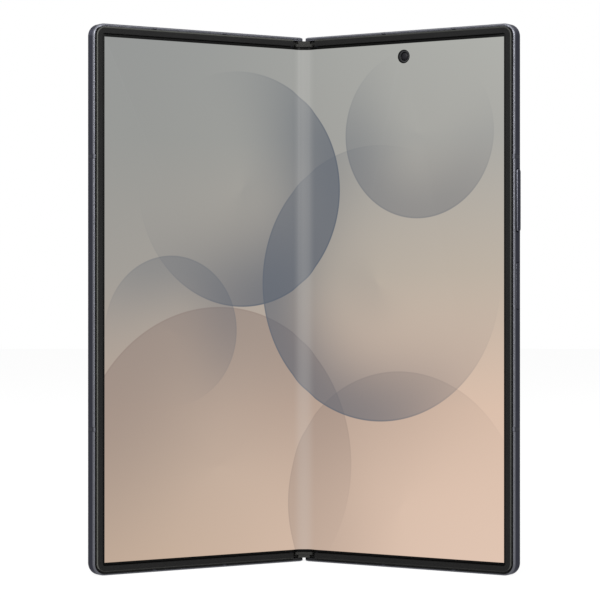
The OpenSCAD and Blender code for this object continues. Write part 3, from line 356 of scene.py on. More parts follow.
def break_plastic(wire, spot, side):
    flake = cloud(wire, spot, 0.07, 3, 0.6)
    x, y, z = spot.parts()
    off = abs(z - BREAK_ZS[0]).at_most(abs(z - BREAK_ZS[1]))
    for middle in BREAK_XS:
        off = off.at_most(abs(x - middle))
    line = (off - BREAK_W / 2 + BREAK_LINE).rise(-0.04, 0.04)
    # Along the front edge the colour moves toward the cut edge's: a painted highlight.
    front = 1 - y.rise(0.45, 0.75)
    body = flake.mix(rgb(43, 44, 50), rgb(53, 54, 60))
    return {
        "Base Color": (line * 0.75).mix((front * 0.6).mix(body, CUT_EDGE_HIGHLIGHT), rgb(16, 16, 18)),
        "Roughness": 0.46 + flake * 0.1,
        "relief": flake * 0.0014 - line * 0.01,
    }


dress("left_antenna_strips right_antenna_strips", "break_plastic", break_plastic, Metallic=0.85,
      Specular_Tint=DYED)

# %% [markdown]
# The raised rim guards the screen when the phone shuts. It is soft black plastic with a spark-eroded
# texture. Along its rounded outer edge runs a thin greyer, slightly glossier line, a painted highlight:
# stronger on the left half than on the right, and weaker at the foot and the head. The end caps of the
# hinge are of the same family, only rougher. Both are dark, so their reflection is kept low: in a white
# room a plain black plastic would turn grey. The walls that drop from the rim's face, and the rim's inner
# edge, are painted near black as shade.

# %% Black plastics for the rims and the hinge's end caps
LINE_START, LINE_END = (0.88, 1.0), (1.08, 1.38)
RIM_INNER, RIM_FACE = 2.66, 0.2
# How strong the painted highlight on the rim's outer edge is on each half.
HIGHLIGHT_BY_SIDE = {RIGHT: 0.42, LEFT: 0.76}


def rim_plastic(wire, spot, side):
    grain = cloud(wire, spot, 0.14, 3, 0.65)
    _, y, z = spot.parts()
    inward = edge_in(spot)
    foot, head = 1 - z.rise(1.5, 2.5), z.rise(HEIGHT - 2.5, HEIGHT - 1.5)
    # A thin greyer line on the rounded outer edge: a painted highlight, weaker at the foot and the head.
    line = (inward - foot * 0.25).rise(*LINE_START) * (1 - inward.rise(*LINE_END))
    line = line * (1 - y.rise(RIM_FACE, RIM_FACE + 0.14))
    rim_highlight = line * (1 - foot * 0.3 - head * 0.3) * HIGHLIGHT_BY_SIDE[side]
    body = (grain * 0.5 + cloud(wire, spot, 9) * 0.5).mix(rgb(10, 10, 10), rgb(19, 19, 19))
    # The walls below the rim's face and its inner edge are painted near black as shade.
    shaded_wall = y.rise(RIM_FACE, RIM_FACE + 0.1).at_least(inward.rise(RIM_INNER, RIM_INNER + 0.12))
    flank = shaded_wall.mix(body, rgb(3, 3, 3))
    return {
        "Base Color": (rim_highlight * (grain * 0.3 + 0.7)).mix(flank, rgb(78, 79, 75)),
        "Roughness": 0.55 - rim_highlight * 0.15 + grain * 0.1,
        "relief": grain * 0.004,
    }


cap_plastic = grained(0.1, 4, (22, 22, 21), (38, 38, 36), 0.6, 0.12, 0.005, 0.7)
dress("left_bezel right_bezel", "rim_plastic", rim_plastic, Specular_IOR_Level=0.08)
dress("end_cap_top end_cap_bottom", "cap_plastic", cap_plastic, Specular_IOR_Level=0.12)

# %% [markdown]
# The back of the right half is matt glass: clear glass etched with a fine acid frost over a dyed film, so
# it glows softly and shows dust-like sparkle. The left half carries the cover screen, which is off. Its
# pane is clear and glossy, and a careful eye makes out where the dark display ends and the black
# border begins. Both are one solid each, so what lies under the glass is drawn by its flat coordinates.

# %% Glass for the two backs
COVER_X, COVER_HALF_W, COVER_HALF_H = 36.6, 32.3, 75.6


def frosted_glass(wire, spot, side):
    frost = cloud(wire, spot, 0.05, 2, 0.8)
    film = cloud(wire, spot, 30, 2)
    return {
        "Base Color": (film * 0.6 + frost * 0.4).mix(rgb(40, 42, 50), rgb(52, 54, 63)),
        "Roughness": 0.34 + frost * 0.1,
        "relief": frost * 0.0007,
    }


def cover_pane(wire, spot, side):
    x, _, z = spot.parts()
    across = abs(x - COVER_X) - COVER_HALF_W
    along = abs(z - HEIGHT / 2) - COVER_HALF_H
    border = across.at_least(along).rise(-0.12, 0.0)
    smear = cloud(wire, stretched(wire, spot, 1, 1, 0.4), 14, 4, 0.6)
    return {
        "Base Color": border.mix(rgb(15, 16, 19), rgb(6, 6, 7)),
        "Roughness": 0.05 + smear.rise(0.45, 0.8) * 0.07,
        "relief": smear * 0.0004,
    }


dress("rear_glass", "frosted_glass", frosted_glass, Coat_Weight=0.25, Coat_Roughness=0.28)
dress("cover_glass", "cover_pane", cover_pane, Coat_Weight=1.0, Coat_Roughness=0.03)
dress("cover_display", "cover_panel", cover_pane)

# %% [markdown]
# The camera island is milled from the same aluminium as the frame, and each lens sits in a ring that was
# turned on a lathe. Turning leaves circles about the lens, which catch the light as bright spokes. The
# three rings stand one step apart, so wrapping z by that step draws all three with one formula.

# %% Island and turned lens rings
ISLAND_X, ISLAND_Z, LENS_STEP = 58.5, 127.9, 16.6
RING_TOP, CUT_PITCH = HALF_T + 2.5, 0.09


def island_metal(wire, spot, side):
    grain = cloud(wire, spot, 0.07, 3, 0.7)
    # The island's rounded edges are painted lighter: a painted highlight.
    edge_wear_and_highlight = rounding(wire, side)
    return {
        "Base Color": (grain * 0.4 + edge_wear_and_highlight * 0.6).mix(rgb(56, 58, 67), rgb(96, 98, 107)),
        "Roughness": 0.33 + grain * 0.08,
        "relief": grain * 0.0016,
    }


def turned_ring(wire, spot, side):
    x, y, z = spot.parts()
    out = x - ISLAND_X
    up = (z - ISLAND_Z).wrapped(LENS_STEP)
    radius = (out * out + up * up).root()
    cut = (radius * (2 * math.pi / CUT_PITCH)).sine()
    lip = y.rise(RING_TOP - 0.35, RING_TOP)
    return {
        "Base Color": (cut * 0.1 + lip * 0.6 + 0.2).mix(rgb(62, 64, 73), rgb(124, 126, 134)),
        "Roughness": 0.22 + cut * 0.03,
        "relief": cut * 0.0009,
    }


dress("camera_island", "island_metal", island_metal, Metallic=1.0)
dress("lens_ring_1 lens_ring_2 lens_ring_3", "turned_ring", turned_ring, Metallic=1.0)

# %% [markdown]
# The spine cover is slate metal like the frame, drawn lengthwise so its grain runs up and down. Inside the
# hinge nothing is dyed. Brackets, arms and rotators are hardened steel, ground along one line, with oil
# darkening the grooves. The small gears are brass with rubbed teeth. The thin plates behind the screen
# are rolled steel with a black foam seal round them.

# %% Metals of the hinge
def spine_metal(wire, spot, side):
    drawn = cloud(wire, stretched(wire, spot, 1, 1, 0.015), 0.07, 3, 0.6)
    return {
        "Base Color": (drawn * 0.5 + cloud(wire, spot, 16) * 0.5).mix(rgb(48, 49, 57), rgb(66, 67, 76)),
        "Roughness": 0.3 + drawn * 0.12,
        "relief": drawn * 0.0014,
    }


def ground_steel(wire, spot, side):
    ground = cloud(wire, stretched(wire, spot, 1, 1, 0.05), 0.05, 3, 0.6)
    oil = cloud(wire, spot, 2.2, 4, 0.6).rise(0.55, 0.8)
    return {
        "Base Color": (oil * 0.5).mix(ground.mix(rgb(138, 139, 142), rgb(176, 177, 180)), rgb(92, 88, 80)),
        "Roughness": 0.26 + ground * 0.14 - oil * 0.1,
        "relief": ground * 0.0016,
    }


rubbed_brass = grained(0.4, 4, (150, 128, 84), (206, 184, 132), 0.24, 0.16, 0.002, 0.6)
FOAM_X, FOAM_Z = 67.4, 75.0


def thin_plate(wire, spot, side):
    x, _, z = spot.parts()
    rolled = cloud(wire, stretched(wire, spot, 0.05, 1, 1), 0.09, 3, 0.6)
    foam = (x - FOAM_X).at_least(abs(z - HEIGHT / 2) - FOAM_Z).rise(0, 0.2)
    return {
        "Base Color": foam.mix(rolled.mix(rgb(120, 121, 126), rgb(150, 151, 156)), rgb(5, 5, 5)),
        "Roughness": 0.28 + rolled * 0.12 + foam * 0.4,
        "relief": rolled * 0.0012,
    }


dress("spine_cover", "spine_metal", spine_metal, Metallic=1.0, Specular_Tint=DYED)
places = [f"_{half}_{end}" for half in ("left", "right") for end in ("upper", "lower")]
steel = ["hinge_bracket_upper", "hinge_bracket_lower"]
steel += [part + place for part in ("rotator", "sync_arm") for place in places]
dress(" ".join(steel), "ground_steel", ground_steel, Metallic=1.0)
dress(" ".join("idler_gear" + place for place in places), "rubbed_brass", rubbed_brass, Metallic=1.0)
dress("left_display_plate right_display_plate wing_plate_left wing_plate_right", "thin_plate", thin_plate,
      Metallic=1.0)

# %% [markdown]
# The parts behind the panes are seen only by someone who opens the phone, or who takes this model apart.
# They still get the finish of the real thing: crinkled foil on the cells, traces and pads on the boards,
# etched dots on the shields, wound copper in the coil. All of it is drawn, not modelled, because none
# of it stands out by more than a few hundredths of a millimetre.

# %% Finishes of the inner parts
CELL_X = 37
LANE_W, LANE_LONG = 0.8, 5.6
DOT_STEP = 1.2
COIL_X, COIL_Z, COIL_IN, COIL_OUT, COIL_WIRE = 37.75, 62, 11, 22, 0.62
CHIP_X, CHIP_Z, CHIP_HALF_W, CHIP_HALF_H = 60.5, 145, 2.95, 3.75
TRACE_STEP = 0.3


def foil_wrap(wire, spot, side):
    crinkle = cloud(wire, spot, 3.5, 5, 0.6)
    seam = 1 - abs(spot.parts()[0] - CELL_X).rise(0.1, 0.5)
    return {
        "Base Color": (crinkle * 0.6 + seam * 0.4).mix(rgb(26, 26, 28), rgb(52, 52, 56)),
        "Roughness": 0.38 + crinkle * 0.2,
        "relief": crinkle * 0.05 + seam * 0.02,
    }


def board(wire, spot, side):
    x, _, z = spot.parts()
    lanes = abs(x.wrapped(LANE_W)).rise(0.28, 0.33) * abs(z.wrapped(LANE_LONG)).rise(0.5, 0.6)
    pads = wire.node("ShaderNodeTexVoronoi", {"feature": "F1"}, Vector=spot, Scale=0.8)
    gold = (1 - pads.rise(0.16, 0.2)) * cloud(wire, spot, 6).rise(0.45, 0.5)
    green = (lanes * 0.7 + cloud(wire, spot, 2.5) * 0.3).mix(rgb(16, 52, 40), rgb(34, 86, 64))
    return {
        "Base Color": gold.mix(green, rgb(196, 164, 96)),
        "Roughness": 0.42 - gold * 0.16,
        "relief": lanes * 0.012 + gold * 0.02,
    }


def shield_steel(wire, spot, side):
    x, _, z = spot.parts()
    dx, dz = x.wrapped(DOT_STEP), z.wrapped(DOT_STEP)
    dot = 1 - (dx * dx + dz * dz).root().rise(0.16, 0.22)
    smudge = cloud(wire, spot, 5, 3)
    return {
        "Base Color": (dot * 0.6).mix(smudge.mix(rgb(148, 148, 150), rgb(178, 178, 180)), rgb(80, 80, 82)),
        "Roughness": 0.3 + smudge * 0.14,
        "relief": dot * -0.03 + smudge * 0.004,
    }


def wound_copper(wire, spot, side):
    x, _, z = spot.parts()
    out, up = x - COIL_X, z - COIL_Z
    radius = (out * out + up * up).root()
    turn = (radius * (2 * math.pi / COIL_WIRE)).sine()
    wound = radius.rise(COIL_IN - 0.1, COIL_IN + 0.1) * (1 - radius.rise(COIL_OUT - 0.1, COIL_OUT + 0.1))
    return {
        # Each turn is lightest on its crest and darkest between turns: painted highlight and painted shade.
        "Base Color": wound.mix(rgb(40, 38, 38), (turn * 0.5 + 0.5).mix(rgb(96, 52, 30), rgb(196, 124, 78))),
        "Roughness": 0.5 - wound * 0.15,
        "relief": turn * wound * 0.05,
    }


moulded_black = grained(0.12, 3, (20, 20, 21), (34, 34, 36), 0.5, 0.15, 0.004, 0.65)


def card_plastic(wire, spot, side):
    x, _, z = spot.parts()
    beside = (abs(x - CHIP_X) - CHIP_HALF_W).at_least(abs(z - CHIP_Z) - CHIP_HALF_H).rise(-0.05, 0.05)
    split = abs(x.wrapped(1.45)).rise(0.05, 0.09) * abs(z.wrapped(1.9)).rise(0.05, 0.09)
    gold = (1 - beside) * split
    card = cloud(wire, spot, 3).mix(rgb(206, 206, 202), rgb(224, 224, 220))
    return {
        "Base Color": gold.mix(card, rgb(204, 170, 96)),
        "Roughness": 0.42 - gold * 0.16,
        "relief": gold * 0.02,
    }


def amber_flex(wire, spot, side):
    trace = abs(spot.parts()[1].wrapped(TRACE_STEP)).rise(0.05, 0.08)
    return {
        "Base Color": (trace * 0.8 + cloud(wire, spot, 1.5) * 0.2).mix(rgb(96, 50, 16), rgb(168, 100, 38)),
        "Roughness": 0.3 + trace * 0.1,
        "relief": trace * 0.01,
    }


dress("left_battery right_battery", "foil_wrap", foil_wrap, Specular_IOR_Level=0.5)
dress("left_board main_board lower_board", "board", board)
dress("board_shield vibration_motor", "shield_steel", shield_steel, Metallic=1.0)
dress("charging_coil", "wound_copper", wound_copper)
dress("usb_port", "ground_steel", ground_steel, Metallic=1.0)
dress("top_speaker bottom_speaker", "moulded_black", moulded_black, Specular_IOR_Level=0.3)
dress("sim_card", "card_plastic", card_plastic)
dress("key_flex", "amber_flex", amber_flex, Specular_IOR_Level=0.6)

# %% [markdown]
# A made piece starts as a mesh in flat millimetres, is swung into place, and then rides on a body. Turned
# parts, such as lens barrels, are a profile spun about their axis. Spinning by hand instead of with the
# Spin tool closes the pole with one point, so no hole or doubled ring is left behind.

# %% Make a mesh ride
def stand(name, mesh, materials, smooth):
    """Puts a finished mesh in the scene; edges sharper than smooth degrees stay sharp."""
    made = bpy.data.objects.new(name, mesh)
    bpy.context.scene.collection.objects.link(made)
    for material in materials:
        mesh.materials.append(material)
    if smooth:
        mesh.shade_smooth()
        mesh.set_sharp_from_angle(angle=math.radians(smooth))
    print(f"{name}: {len(mesh.polygons)} faces")
    return made


def piece(name, mesh, side, body, materials, smooth=35):
    """Lays a flat mesh in its place and lets it ride on a body."""
    lay(mesh, side)
    made = stand(name, mesh, materials, smooth)
    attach(made, body)
    return made


def spun(bm, profile, x, z, finish_index=0, steps=64):
    """Spins (radius, y) points about the axis at x, z. A radius of 0 is a pole."""
    rings = []
    for radius, y in profile:
        if radius == 0:
            rings.append([bm.verts.new((x, y, z))])
            continue
        turn = [2 * math.pi * i / steps for i in range(steps)]
        rings.append([bm.verts.new((x + radius * math.cos(a), y, z + radius * math.sin(a))) for a in turn])
    for one, two in zip(rings, rings[1:]):
        for i in range(steps):
            j = i + 1
            corners = [one[i % len(one)], one[j % len(one)], two[j % len(two)], two[i % len(two)]]
            face = bm.faces.new(list(dict.fromkeys(corners)))
            face.material_index = finish_index


def block(bm, low, high, finish_index=0, soft=0.2):
    """A block with softened edges. The finish lies on those edges; the flat sides keep the first one."""
    made = bmesh.ops.create_cube(bm, size=1)["verts"]
    for vert in made:
        vert.co = [(a + b) / 2 + c * (b - a) for a, b, c in zip(low, high, vert.co)]
    edges = list(dict.fromkeys(e for v in made for e in v.link_edges))
    rounded = bmesh.ops.bevel(bm, geom=edges, offset=soft, segments=2, affect="EDGES", profile=0.5)
    for face in rounded["faces"]:
        face.material_index = finish_index


def closed(bm, name):
    """The finished mesh, its faces turned outward."""
    bmesh.ops.recalc_face_normals(bm, faces=bm.faces)
    mesh = bpy.data.meshes.new(name)
    bm.to_mesh(mesh)
    bm.free()
    return mesh


# %% [markdown]
# The inner screen is one flexible sheet glued to both halves and free in the middle, where it droops into
# the spine like a hanging belt. As a solid it was three stiff pieces. Here it is two sheets that meet
# on the middle line. Each point is turned by a smooth share of the fold, and the share depends on where
# the point rests. So the resting shape is found by repetition: guess a point, read its share, turn the
# flat point by it, and guess again.

# %% Find where the bending sheet rests
SCREEN_Y, SCREEN_T = 0.3, 0.4
SCREEN_X, SCREEN_LOW, SCREEN_HIGH = 68.57, 3.03, 155.37
BEND = 4.5
GUESSES = 40
HOLE_X, HOLE_Z, HOLE_R = 35.2, 150.8, 1.875


def turned_point(x, y, angle):
    dx, dy = x - PIVOT.x, y - PIVOT.y
    c, s = math.cos(angle), math.sin(angle)
    return PIVOT.x + dx * c + dy * s, PIVOT.y - dx * s + dy * c


bend_end = turned_point(BEND, SCREEN_Y + SCREEN_T / 2, FOLD)[0]


def resting(x, y):
    """Where the flat point rests when the sheet is half folded."""
    at = x
    for _ in range(GUESSES):
        t = min(1, max(0, at / bend_end))
        spot = turned_point(x, y, FOLD * t * t * (3 - 2 * t))
        at = spot[0]
    return spot


droop = resting(0, SCREEN_Y)[1] - resting(BEND, SCREEN_Y)[1]
print(f"the bend ends at x {bend_end:.3f} mm and lies {droop:.3f} mm behind that spot")

# %% [markdown]
# The sheet's outline is a filled curve, because a curve can carry the camera's hole and round its own
# edges. It is turned into a mesh and then sliced into narrow columns where it bends, and nowhere else. The
# flat coordinates are stored as the sheet's own UV map before bending, so the picture is drawn across
# both sheets as one and bends with them.

# %% Make the two sheets
def outline(curve, points):
    spline = curve.splines.new("POLY")
    spline.points.add(len(points) - 1)
    for point, (x, z) in zip(spline.points, points):
        point.co = (x, z, 0, 1)
    spline.use_cyclic_u = True


def arc(x, z, radius, first, last, steps):
    turn = [math.radians(first + (last - first) * i / steps) for i in range(steps + 1)]
    return [(x + radius * math.cos(a), z + radius * math.sin(a)) for a in turn]


def everything(bm):
    return bm.verts[:] + bm.edges[:] + bm.faces[:]


SOFT, SHEET_R, SPARE = 0.05, 0.4, 2
HOLE_STEPS, COLUMNS = 48, 25
PICTURE_W, PICTURE_H = 140, 160
PICTURE_MAP = "across both sheets"
sheets = {}
for side in (LEFT, RIGHT):
    curve = bpy.data.curves.new("outline", "CURVE")
    curve.dimensions, curve.fill_mode = "2D", "BOTH"
    curve.extrude, curve.bevel_depth, curve.bevel_resolution = SCREEN_T / 2 - SOFT, SOFT, 2
    x1, z0, z1, r = SCREEN_X - SOFT, SCREEN_LOW + SOFT, SCREEN_HIGH - SOFT, SHEET_R
    corners = arc(x1 - r, z0 + r, r, -90, 0, 8) + arc(x1 - r, z1 - r, r, 0, 90, 8)
    outline(curve, [(-SPARE, z0)] + corners + [(-SPARE, z1)])
    if side == RIGHT:
        outline(curve, arc(HOLE_X, HOLE_Z, HOLE_R + SOFT, 0, 360 - 360 / HOLE_STEPS, HOLE_STEPS - 1))
    holder = bpy.data.objects.new("outline", curve)
    bm = bmesh.new()
    flat_mesh = bpy.data.meshes.new_from_object(holder)
    bm.from_mesh(flat_mesh)
    bmesh.ops.remove_doubles(bm, verts=bm.verts, dist=1e-5)
    bmesh.ops.rotate(bm, verts=bm.verts, cent=(0, 0, 0), matrix=Matrix.Rotation(math.pi / 2, 3, "X"))
    bmesh.ops.translate(bm, verts=bm.verts, vec=(0, SCREEN_Y + SCREEN_T / 2, 0))
    bmesh.ops.bisect_plane(bm, geom=everything(bm), plane_co=(0, 0, 0), plane_no=(1, 0, 0), clear_inner=True)
    bmesh.ops.contextual_create(bm, geom=[e for e in bm.edges if e.is_boundary])
    for i in range(1, COLUMNS + 2):
        cut_x = BEND * i / COLUMNS
        bmesh.ops.bisect_plane(bm, geom=everything(bm), plane_co=(cut_x, 0, 0), plane_no=(1, 0, 0))
    bmesh.ops.triangulate(bm, faces=[f for f in bm.faces if len(f.verts) > 4])
    bmesh.ops.recalc_face_normals(bm, faces=bm.faces)
    uv = bm.loops.layers.uv.new(PICTURE_MAP)
    for face in bm.faces:
        face.material_index = 0 if face.normal.y < -0.7 else 1
        for loop in face.loops:
            loop[uv].uv = (0.5 + side * loop.vert.co.x / PICTURE_W, loop.vert.co.z / PICTURE_H)
    for vert in bm.verts:
        vert.co.x, vert.co.y = resting(vert.co.x, vert.co.y)
    print(f"open edges: {sum(e.is_boundary for e in bm.edges)}")
    mesh = bpy.data.meshes.new("sheet")
    bm.to_mesh(mesh)
    bm.free()
    bpy.data.objects.remove(holder)
    bpy.data.meshes.remove(flat_mesh)
    sheets[side] = mesh

# %% [markdown]
# The screen is on. Its glow is the picture, and the sheet itself is nearly black and softly glossy. The
# picture is a generic one, drawn here by formula: a dawn-like wash from cool grey to warm sand, and a few
# very large smoky discs that overlap. Each disc is crisp along its rim and fades inward, and is stronger
# on one side than on the other. The border and the ring round the camera's hole stay unlit. A soft pale
# band along the bend is painted into the glow, a painted sheen.

# %% Light the screen
LIT_X, LIT_Z, HAIR = (-68.08, 68.22), (3.71, 154.59), 0.03
RING_X, RING_Z, RING_R = HOLE_X - 0.13, HOLE_Z - 0.05, HOLE_R + 0.14
# The width and strength of the pale band along the bend, a painted sheen.
BAND, BEND_SHEEN, PICTURE_GLOW = 4.6, 0.13, 0.945


def between(value, low, high):
    """1 between low and high, with an edge as fine as a hair."""
    return value.rise(low - HAIR, low + HAIR) * (1 - value.rise(high - HAIR, high + HAIR))


def disc(wire, x, z, cx, cz, radius, toward, fade, strength):
    """Smoke inside a disc: crisp at its rim, faded inward, strongest toward an angle."""
    dx, dz = x - cx, z - cz
    far = (dx * dx + dz * dz).root()
    inside = 1 - far.rise(radius - 0.1, radius + 0.1)
    depth = 1 - (radius - far).rise(0, fade)
    line = 1 - abs(far - radius + 0.25).rise(0.08, 0.32)
    a = math.radians(toward)
    lean = (dx * math.cos(a) + dz * math.sin(a)) / far.at_least(1)
    return inside * (depth * 0.85 + 0.15 + line * 0.22) * lean.rise(-0.95, 0.85) * strength


def lit_screen(side):
    material = bpy.data.materials.new(f"lit_screen_{'right' if side == RIGHT else 'left'}")
    material.use_nodes = True
    material.node_tree.nodes.clear()
    wire = Wire(material.node_tree)
    u, v, _ = wire.node("ShaderNodeUVMap", {"uv_map": PICTURE_MAP}).parts()
    x, z = (u - 0.5) * PICTURE_W, v * PICTURE_H
    up = v * (PICTURE_H / HEIGHT)
    cool = wire.node("ShaderNodeValToRGB", {"stops": [
        (0.0, rgb(200, 176, 156)), (0.3, rgb(184, 166, 152)), (0.55, rgb(162, 158, 152)),
        (0.8, rgb(152, 153, 150)), (1.0, rgb(150, 152, 151))]}, Fac=up)
    warm = wire.node("ShaderNodeValToRGB", {"stops": [
        (0.0, rgb(228, 200, 181)), (0.3, rgb(223, 195, 175)), (0.55, rgb(192, 180, 166)),
        (0.8, rgb(172, 171, 166)), (1.0, rgb(176, 177, 172))]}, Fac=up)
    colour = x.rise(-75, 75).mix(cool, warm)
    smoke, dusk = rgb(97, 104, 115), rgb(146, 128, 120)
    for cx, cz, radius, toward, fade, strength, tint in (
        (-30, 30, 47, 100, 50, 0.55, dusk),
        (34, 18, 40, 150, 44, 0.34, dusk),
        (26, 84, 41, 215, 30, 0.72, smoke),
        (-22, 112, 35, 330, 34, 0.8, smoke),
        (40, 128, 25, 250, 24, 0.5, smoke),
        (-46, 70, 22, 60, 22, 0.4, smoke),
    ):
        colour = disc(wire, x, z, cx, cz, radius, toward, fade, strength).mix(colour, tint)
    # A soft pale band along the bend, painted into the glow as a sheen.
    band = 1 - abs(x).rise(0, BAND)
    colour = (band * BEND_SHEEN).mix(colour, rgb(226, 224, 220))
    dx, dz = x - RING_X, z - RING_Z
    ring = (dx * dx + dz * dz).root().rise(RING_R - 0.02, RING_R + 0.02)
    edge = between(x, *LIT_X) * between(z, *LIT_Z)
    dither = cloud(wire, wire.node("ShaderNodeCombineXYZ", X=x, Y=z, Z=0.0), 0.3, 1)
    light = wire.node("ShaderNodeVectorMath", {"operation": "SCALE"}, _0=colour,
                      Scale=ring * edge * (PICTURE_GLOW + dither * 0.02))
    shader = wire.node("ShaderNodeBsdfPrincipled", Base_Color=rgb(3, 3, 3), Roughness=0.38,
                       Specular_IOR_Level=0.05, Emission_Color=light, Emission_Strength=1.0)
    wire.node("ShaderNodeOutputMaterial", Surface=shader)
    return material


sheet_edge = grained(0.08, 3, (12, 12, 13), (24, 24, 26), 0.4, 0.1, 0.002)
for side, name, half, stiff in (
    (LEFT, "screen_left", "left_half", ["left_display_panel"]),
    (RIGHT, "screen_right", "right_half", ["right_display_panel", "display_bend"]),
):
    mesh = sheets[side]
    mesh.transform(Matrix.Diagonal((side, 1, 1, 1)) @ swing(SPINE))
    if side == LEFT:
        mesh.flip_normals()
    made = stand(name, mesh, [lit_screen(side), finish("sheet_edge", side, sheet_edge)], 50)
    side * bend_end * MM
    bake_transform(made)
    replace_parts(made, *stiff)

# %% [markdown]
# A camera looks like a dark well. Light falls past a clear window into a black barrel, cut in steps so it
# throws nothing back, and onto the bulge of the first lens, whose coating glints blue or violet. A flat
# black disc has none of this depth. So each camera is spun as a stack: block, barrel, lens, window. Under
# a window of true glass, the renderer lets no lamp into the barrel. So the window is a faint mirror: it is
# opaque by a part of the share that Fresnel's law reflects, and clear for the rest. A camera under the
# screen or the cover glass has a duller lens, because the pane above it takes the glints.

# %% Finishes of the cameras
ISLAND_TOP, WELL = HALF_T + 1.7, 1.1
BARREL, LENS, WINDOW, CAN, DULL_LENS = range(5)
coated_lens = grained(2.4, 1, (12, 16, 48), (44, 14, 52), 0.04, 0.02, 0.0002)
dull_lens = grained(0.7, 1, (9, 9, 11), (18, 17, 21), 0.4, 0.05, 0.0004)
can_metal = grained(0.4, 3, (120, 120, 124), (156, 156, 160), 0.3, 0.12, 0.002)


def barrel_black(wire, spot, side):
    y = spot.parts()[1]
    grain = cloud(wire, spot, 0.2, 3)
    # Darker the deeper in the well and on the walls: painted shade.
    depth = y.rise(ISLAND_TOP - WELL, ISLAND_TOP + 0.1) * 0.6
    lit = depth.at_least(1 - y.rise(1, 2)) * level(wire, side).rise(0.4, 0.9)
    return {"Base Color": lit.mix(rgb(3, 3, 3), grain.mix(rgb(24, 24, 25), rgb(38, 38, 40))),
            "Roughness": 0.5 + grain * 0.1, "relief": grain * 0.002}


def window_glass(wire, spot, side):
    smear = cloud(wire, spot, 3.5, 3)
    mirror = wire.node("ShaderNodeFresnel", IOR=1.5)
    return {"Alpha": mirror * 0.3 + 0.01, "Roughness": 0.02 + smear.rise(0.5, 0.9) * 0.04}


def camera_finishes(side):
    """The finishes that BARREL, LENS, WINDOW, CAN and DULL_LENS number, in that order."""
    return [
        finish("barrel_black", side, barrel_black, Specular_IOR_Level=0.1),
        finish("coated_lens", side, coated_lens, Coat_Weight=0.3, Coat_Roughness=0.02,
               Specular_IOR_Level=0.7, Specular_Tint=(0.45, 0.4, 1.0, 1)),
        finish("window_glass", side, window_glass, Metallic=1.0, Base_Color=(0.9, 0.92, 0.94, 1)),
        finish("can_metal", side, can_metal, Metallic=1.0),
        finish("dull_lens", side, dull_lens, Specular_IOR_Level=0.1),
    ]


print(f"{len(finishes)} finishes so far; a barrel is {WELL} mm deep")

# %% [markdown]
# The rear cameras differ in what they see, and so in the size of their first lens: the middle one is the
# main camera and has the widest. The inner and cover cameras are the same idea, smaller and without a
# window of their own, since the screen's glass covers them. One function spins them all; the direction
# says which way the camera looks along y.

# %% Spin the cameras
def dome(radius, base, height, steps=8):
    """Profile of a lens from its edge to its pole."""
    return [(radius * math.cos(i * math.pi / 2 / steps), base + height * math.sin(i * math.pi / 2 / steps))
            for i in range(steps)] + [(0, base + height)]


PART_Y, CAN_DEEP = 1.45, 1.6
CAN_HALF, WINDOW_R, STEP_R, STEP_DEEP = 5.2, 5.54, 0.5, 0.32
for number, opening in ((1, 2.5), (2, 3.2), (3, 2.1)):
    x, y, z = ISLAND_X, ISLAND_TOP, ISLAND_Z + (number - 2) * LENS_STEP
    bm = bmesh.new()
    low, high = (x - CAN_HALF, PART_Y, z - CAN_HALF), (x + CAN_HALF, PART_Y + CAN_DEEP, z + CAN_HALF)
    block(bm, low, high, CAN, 0.25)
    steps = [(4.5 - i * STEP_R, y - down - i * STEP_DEEP) for i in range(3) for down in (0.1, 0.34)]
    spun(bm, [(0, 2.3), (4.7, 2.3), (4.7, y), (5.5, y), (5.5, y + 0.12), (5.2, y + 0.14)] + steps
         + [(opening, y - WELL), (0, y - WELL)], x, z, BARREL)
    lens = dome(opening - 0.05, y - 1.0, 0.55)
    spun(bm, [(0, y - 1.05), (opening - 0.05, y - 1.05)] + lens, x, z, LENS)
    spun(bm, [(0, y + 0.16), (WINDOW_R - 0.06, y + 0.16), (WINDOW_R, y + 0.2), (WINDOW_R, y + 0.4),
              (WINDOW_R - 0.05, y + 0.45), (0, y + 0.45)], x, z, WINDOW)
    mesh = closed(bm, "lens_stack")
    made = piece(f"lens_stack_{number}", mesh, RIGHT, "right_half", camera_finishes(RIGHT))
    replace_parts(made, f"camera_lens_{number}")


def small_camera(name, side, x, z, face, look, radius, node, body, back):
    """A camera behind a hole, its face at y = face, looking along y by look."""
    bm = bmesh.new()
    block(bm, (x - 3.2, PART_Y, z - 3.2), (x + 3.2, back, z + 3.2), CAN, 0.2)
    inner = face - look * 0.2
    spun(bm, [(0, PART_Y + 0.5), (radius, PART_Y + 0.5), (radius, face - look * 0.06), (radius - 0.06, face),
              (1.35, face), (1.2, inner), (1.12, inner - look * 0.12), (0, inner - look * 0.12)],
         x, z, BARREL, 48)
    lens = [(r, inner - look * (0.06 - h)) for r, h in dome(1.1, 0, 0.2)]
    spun(bm, [(0, inner - look * 0.1), (1.1, inner - look * 0.1)] + lens, x, z, DULL_LENS, 48)
    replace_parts(piece(name, closed(bm, name), side, body, camera_finishes(side)), node)


small_camera("inner_eye", RIGHT, HOLE_X, HOLE_Z, 0.45, -1, 1.775, "front_camera", "right_half",
             PART_Y + CAN_DEEP)
small_camera("cover_eye", LEFT, 36.575, 152.0, 4.06, 1, 1.7, "cover_camera", "left_half", 3.2)

# %% [markdown]
# The flash is a yellow die under a clear cap. Rings pressed into the cap spread its light, as on a
# lighthouse lens. The rings are coarse enough to be spun as real ridges, and the yellow shows through.

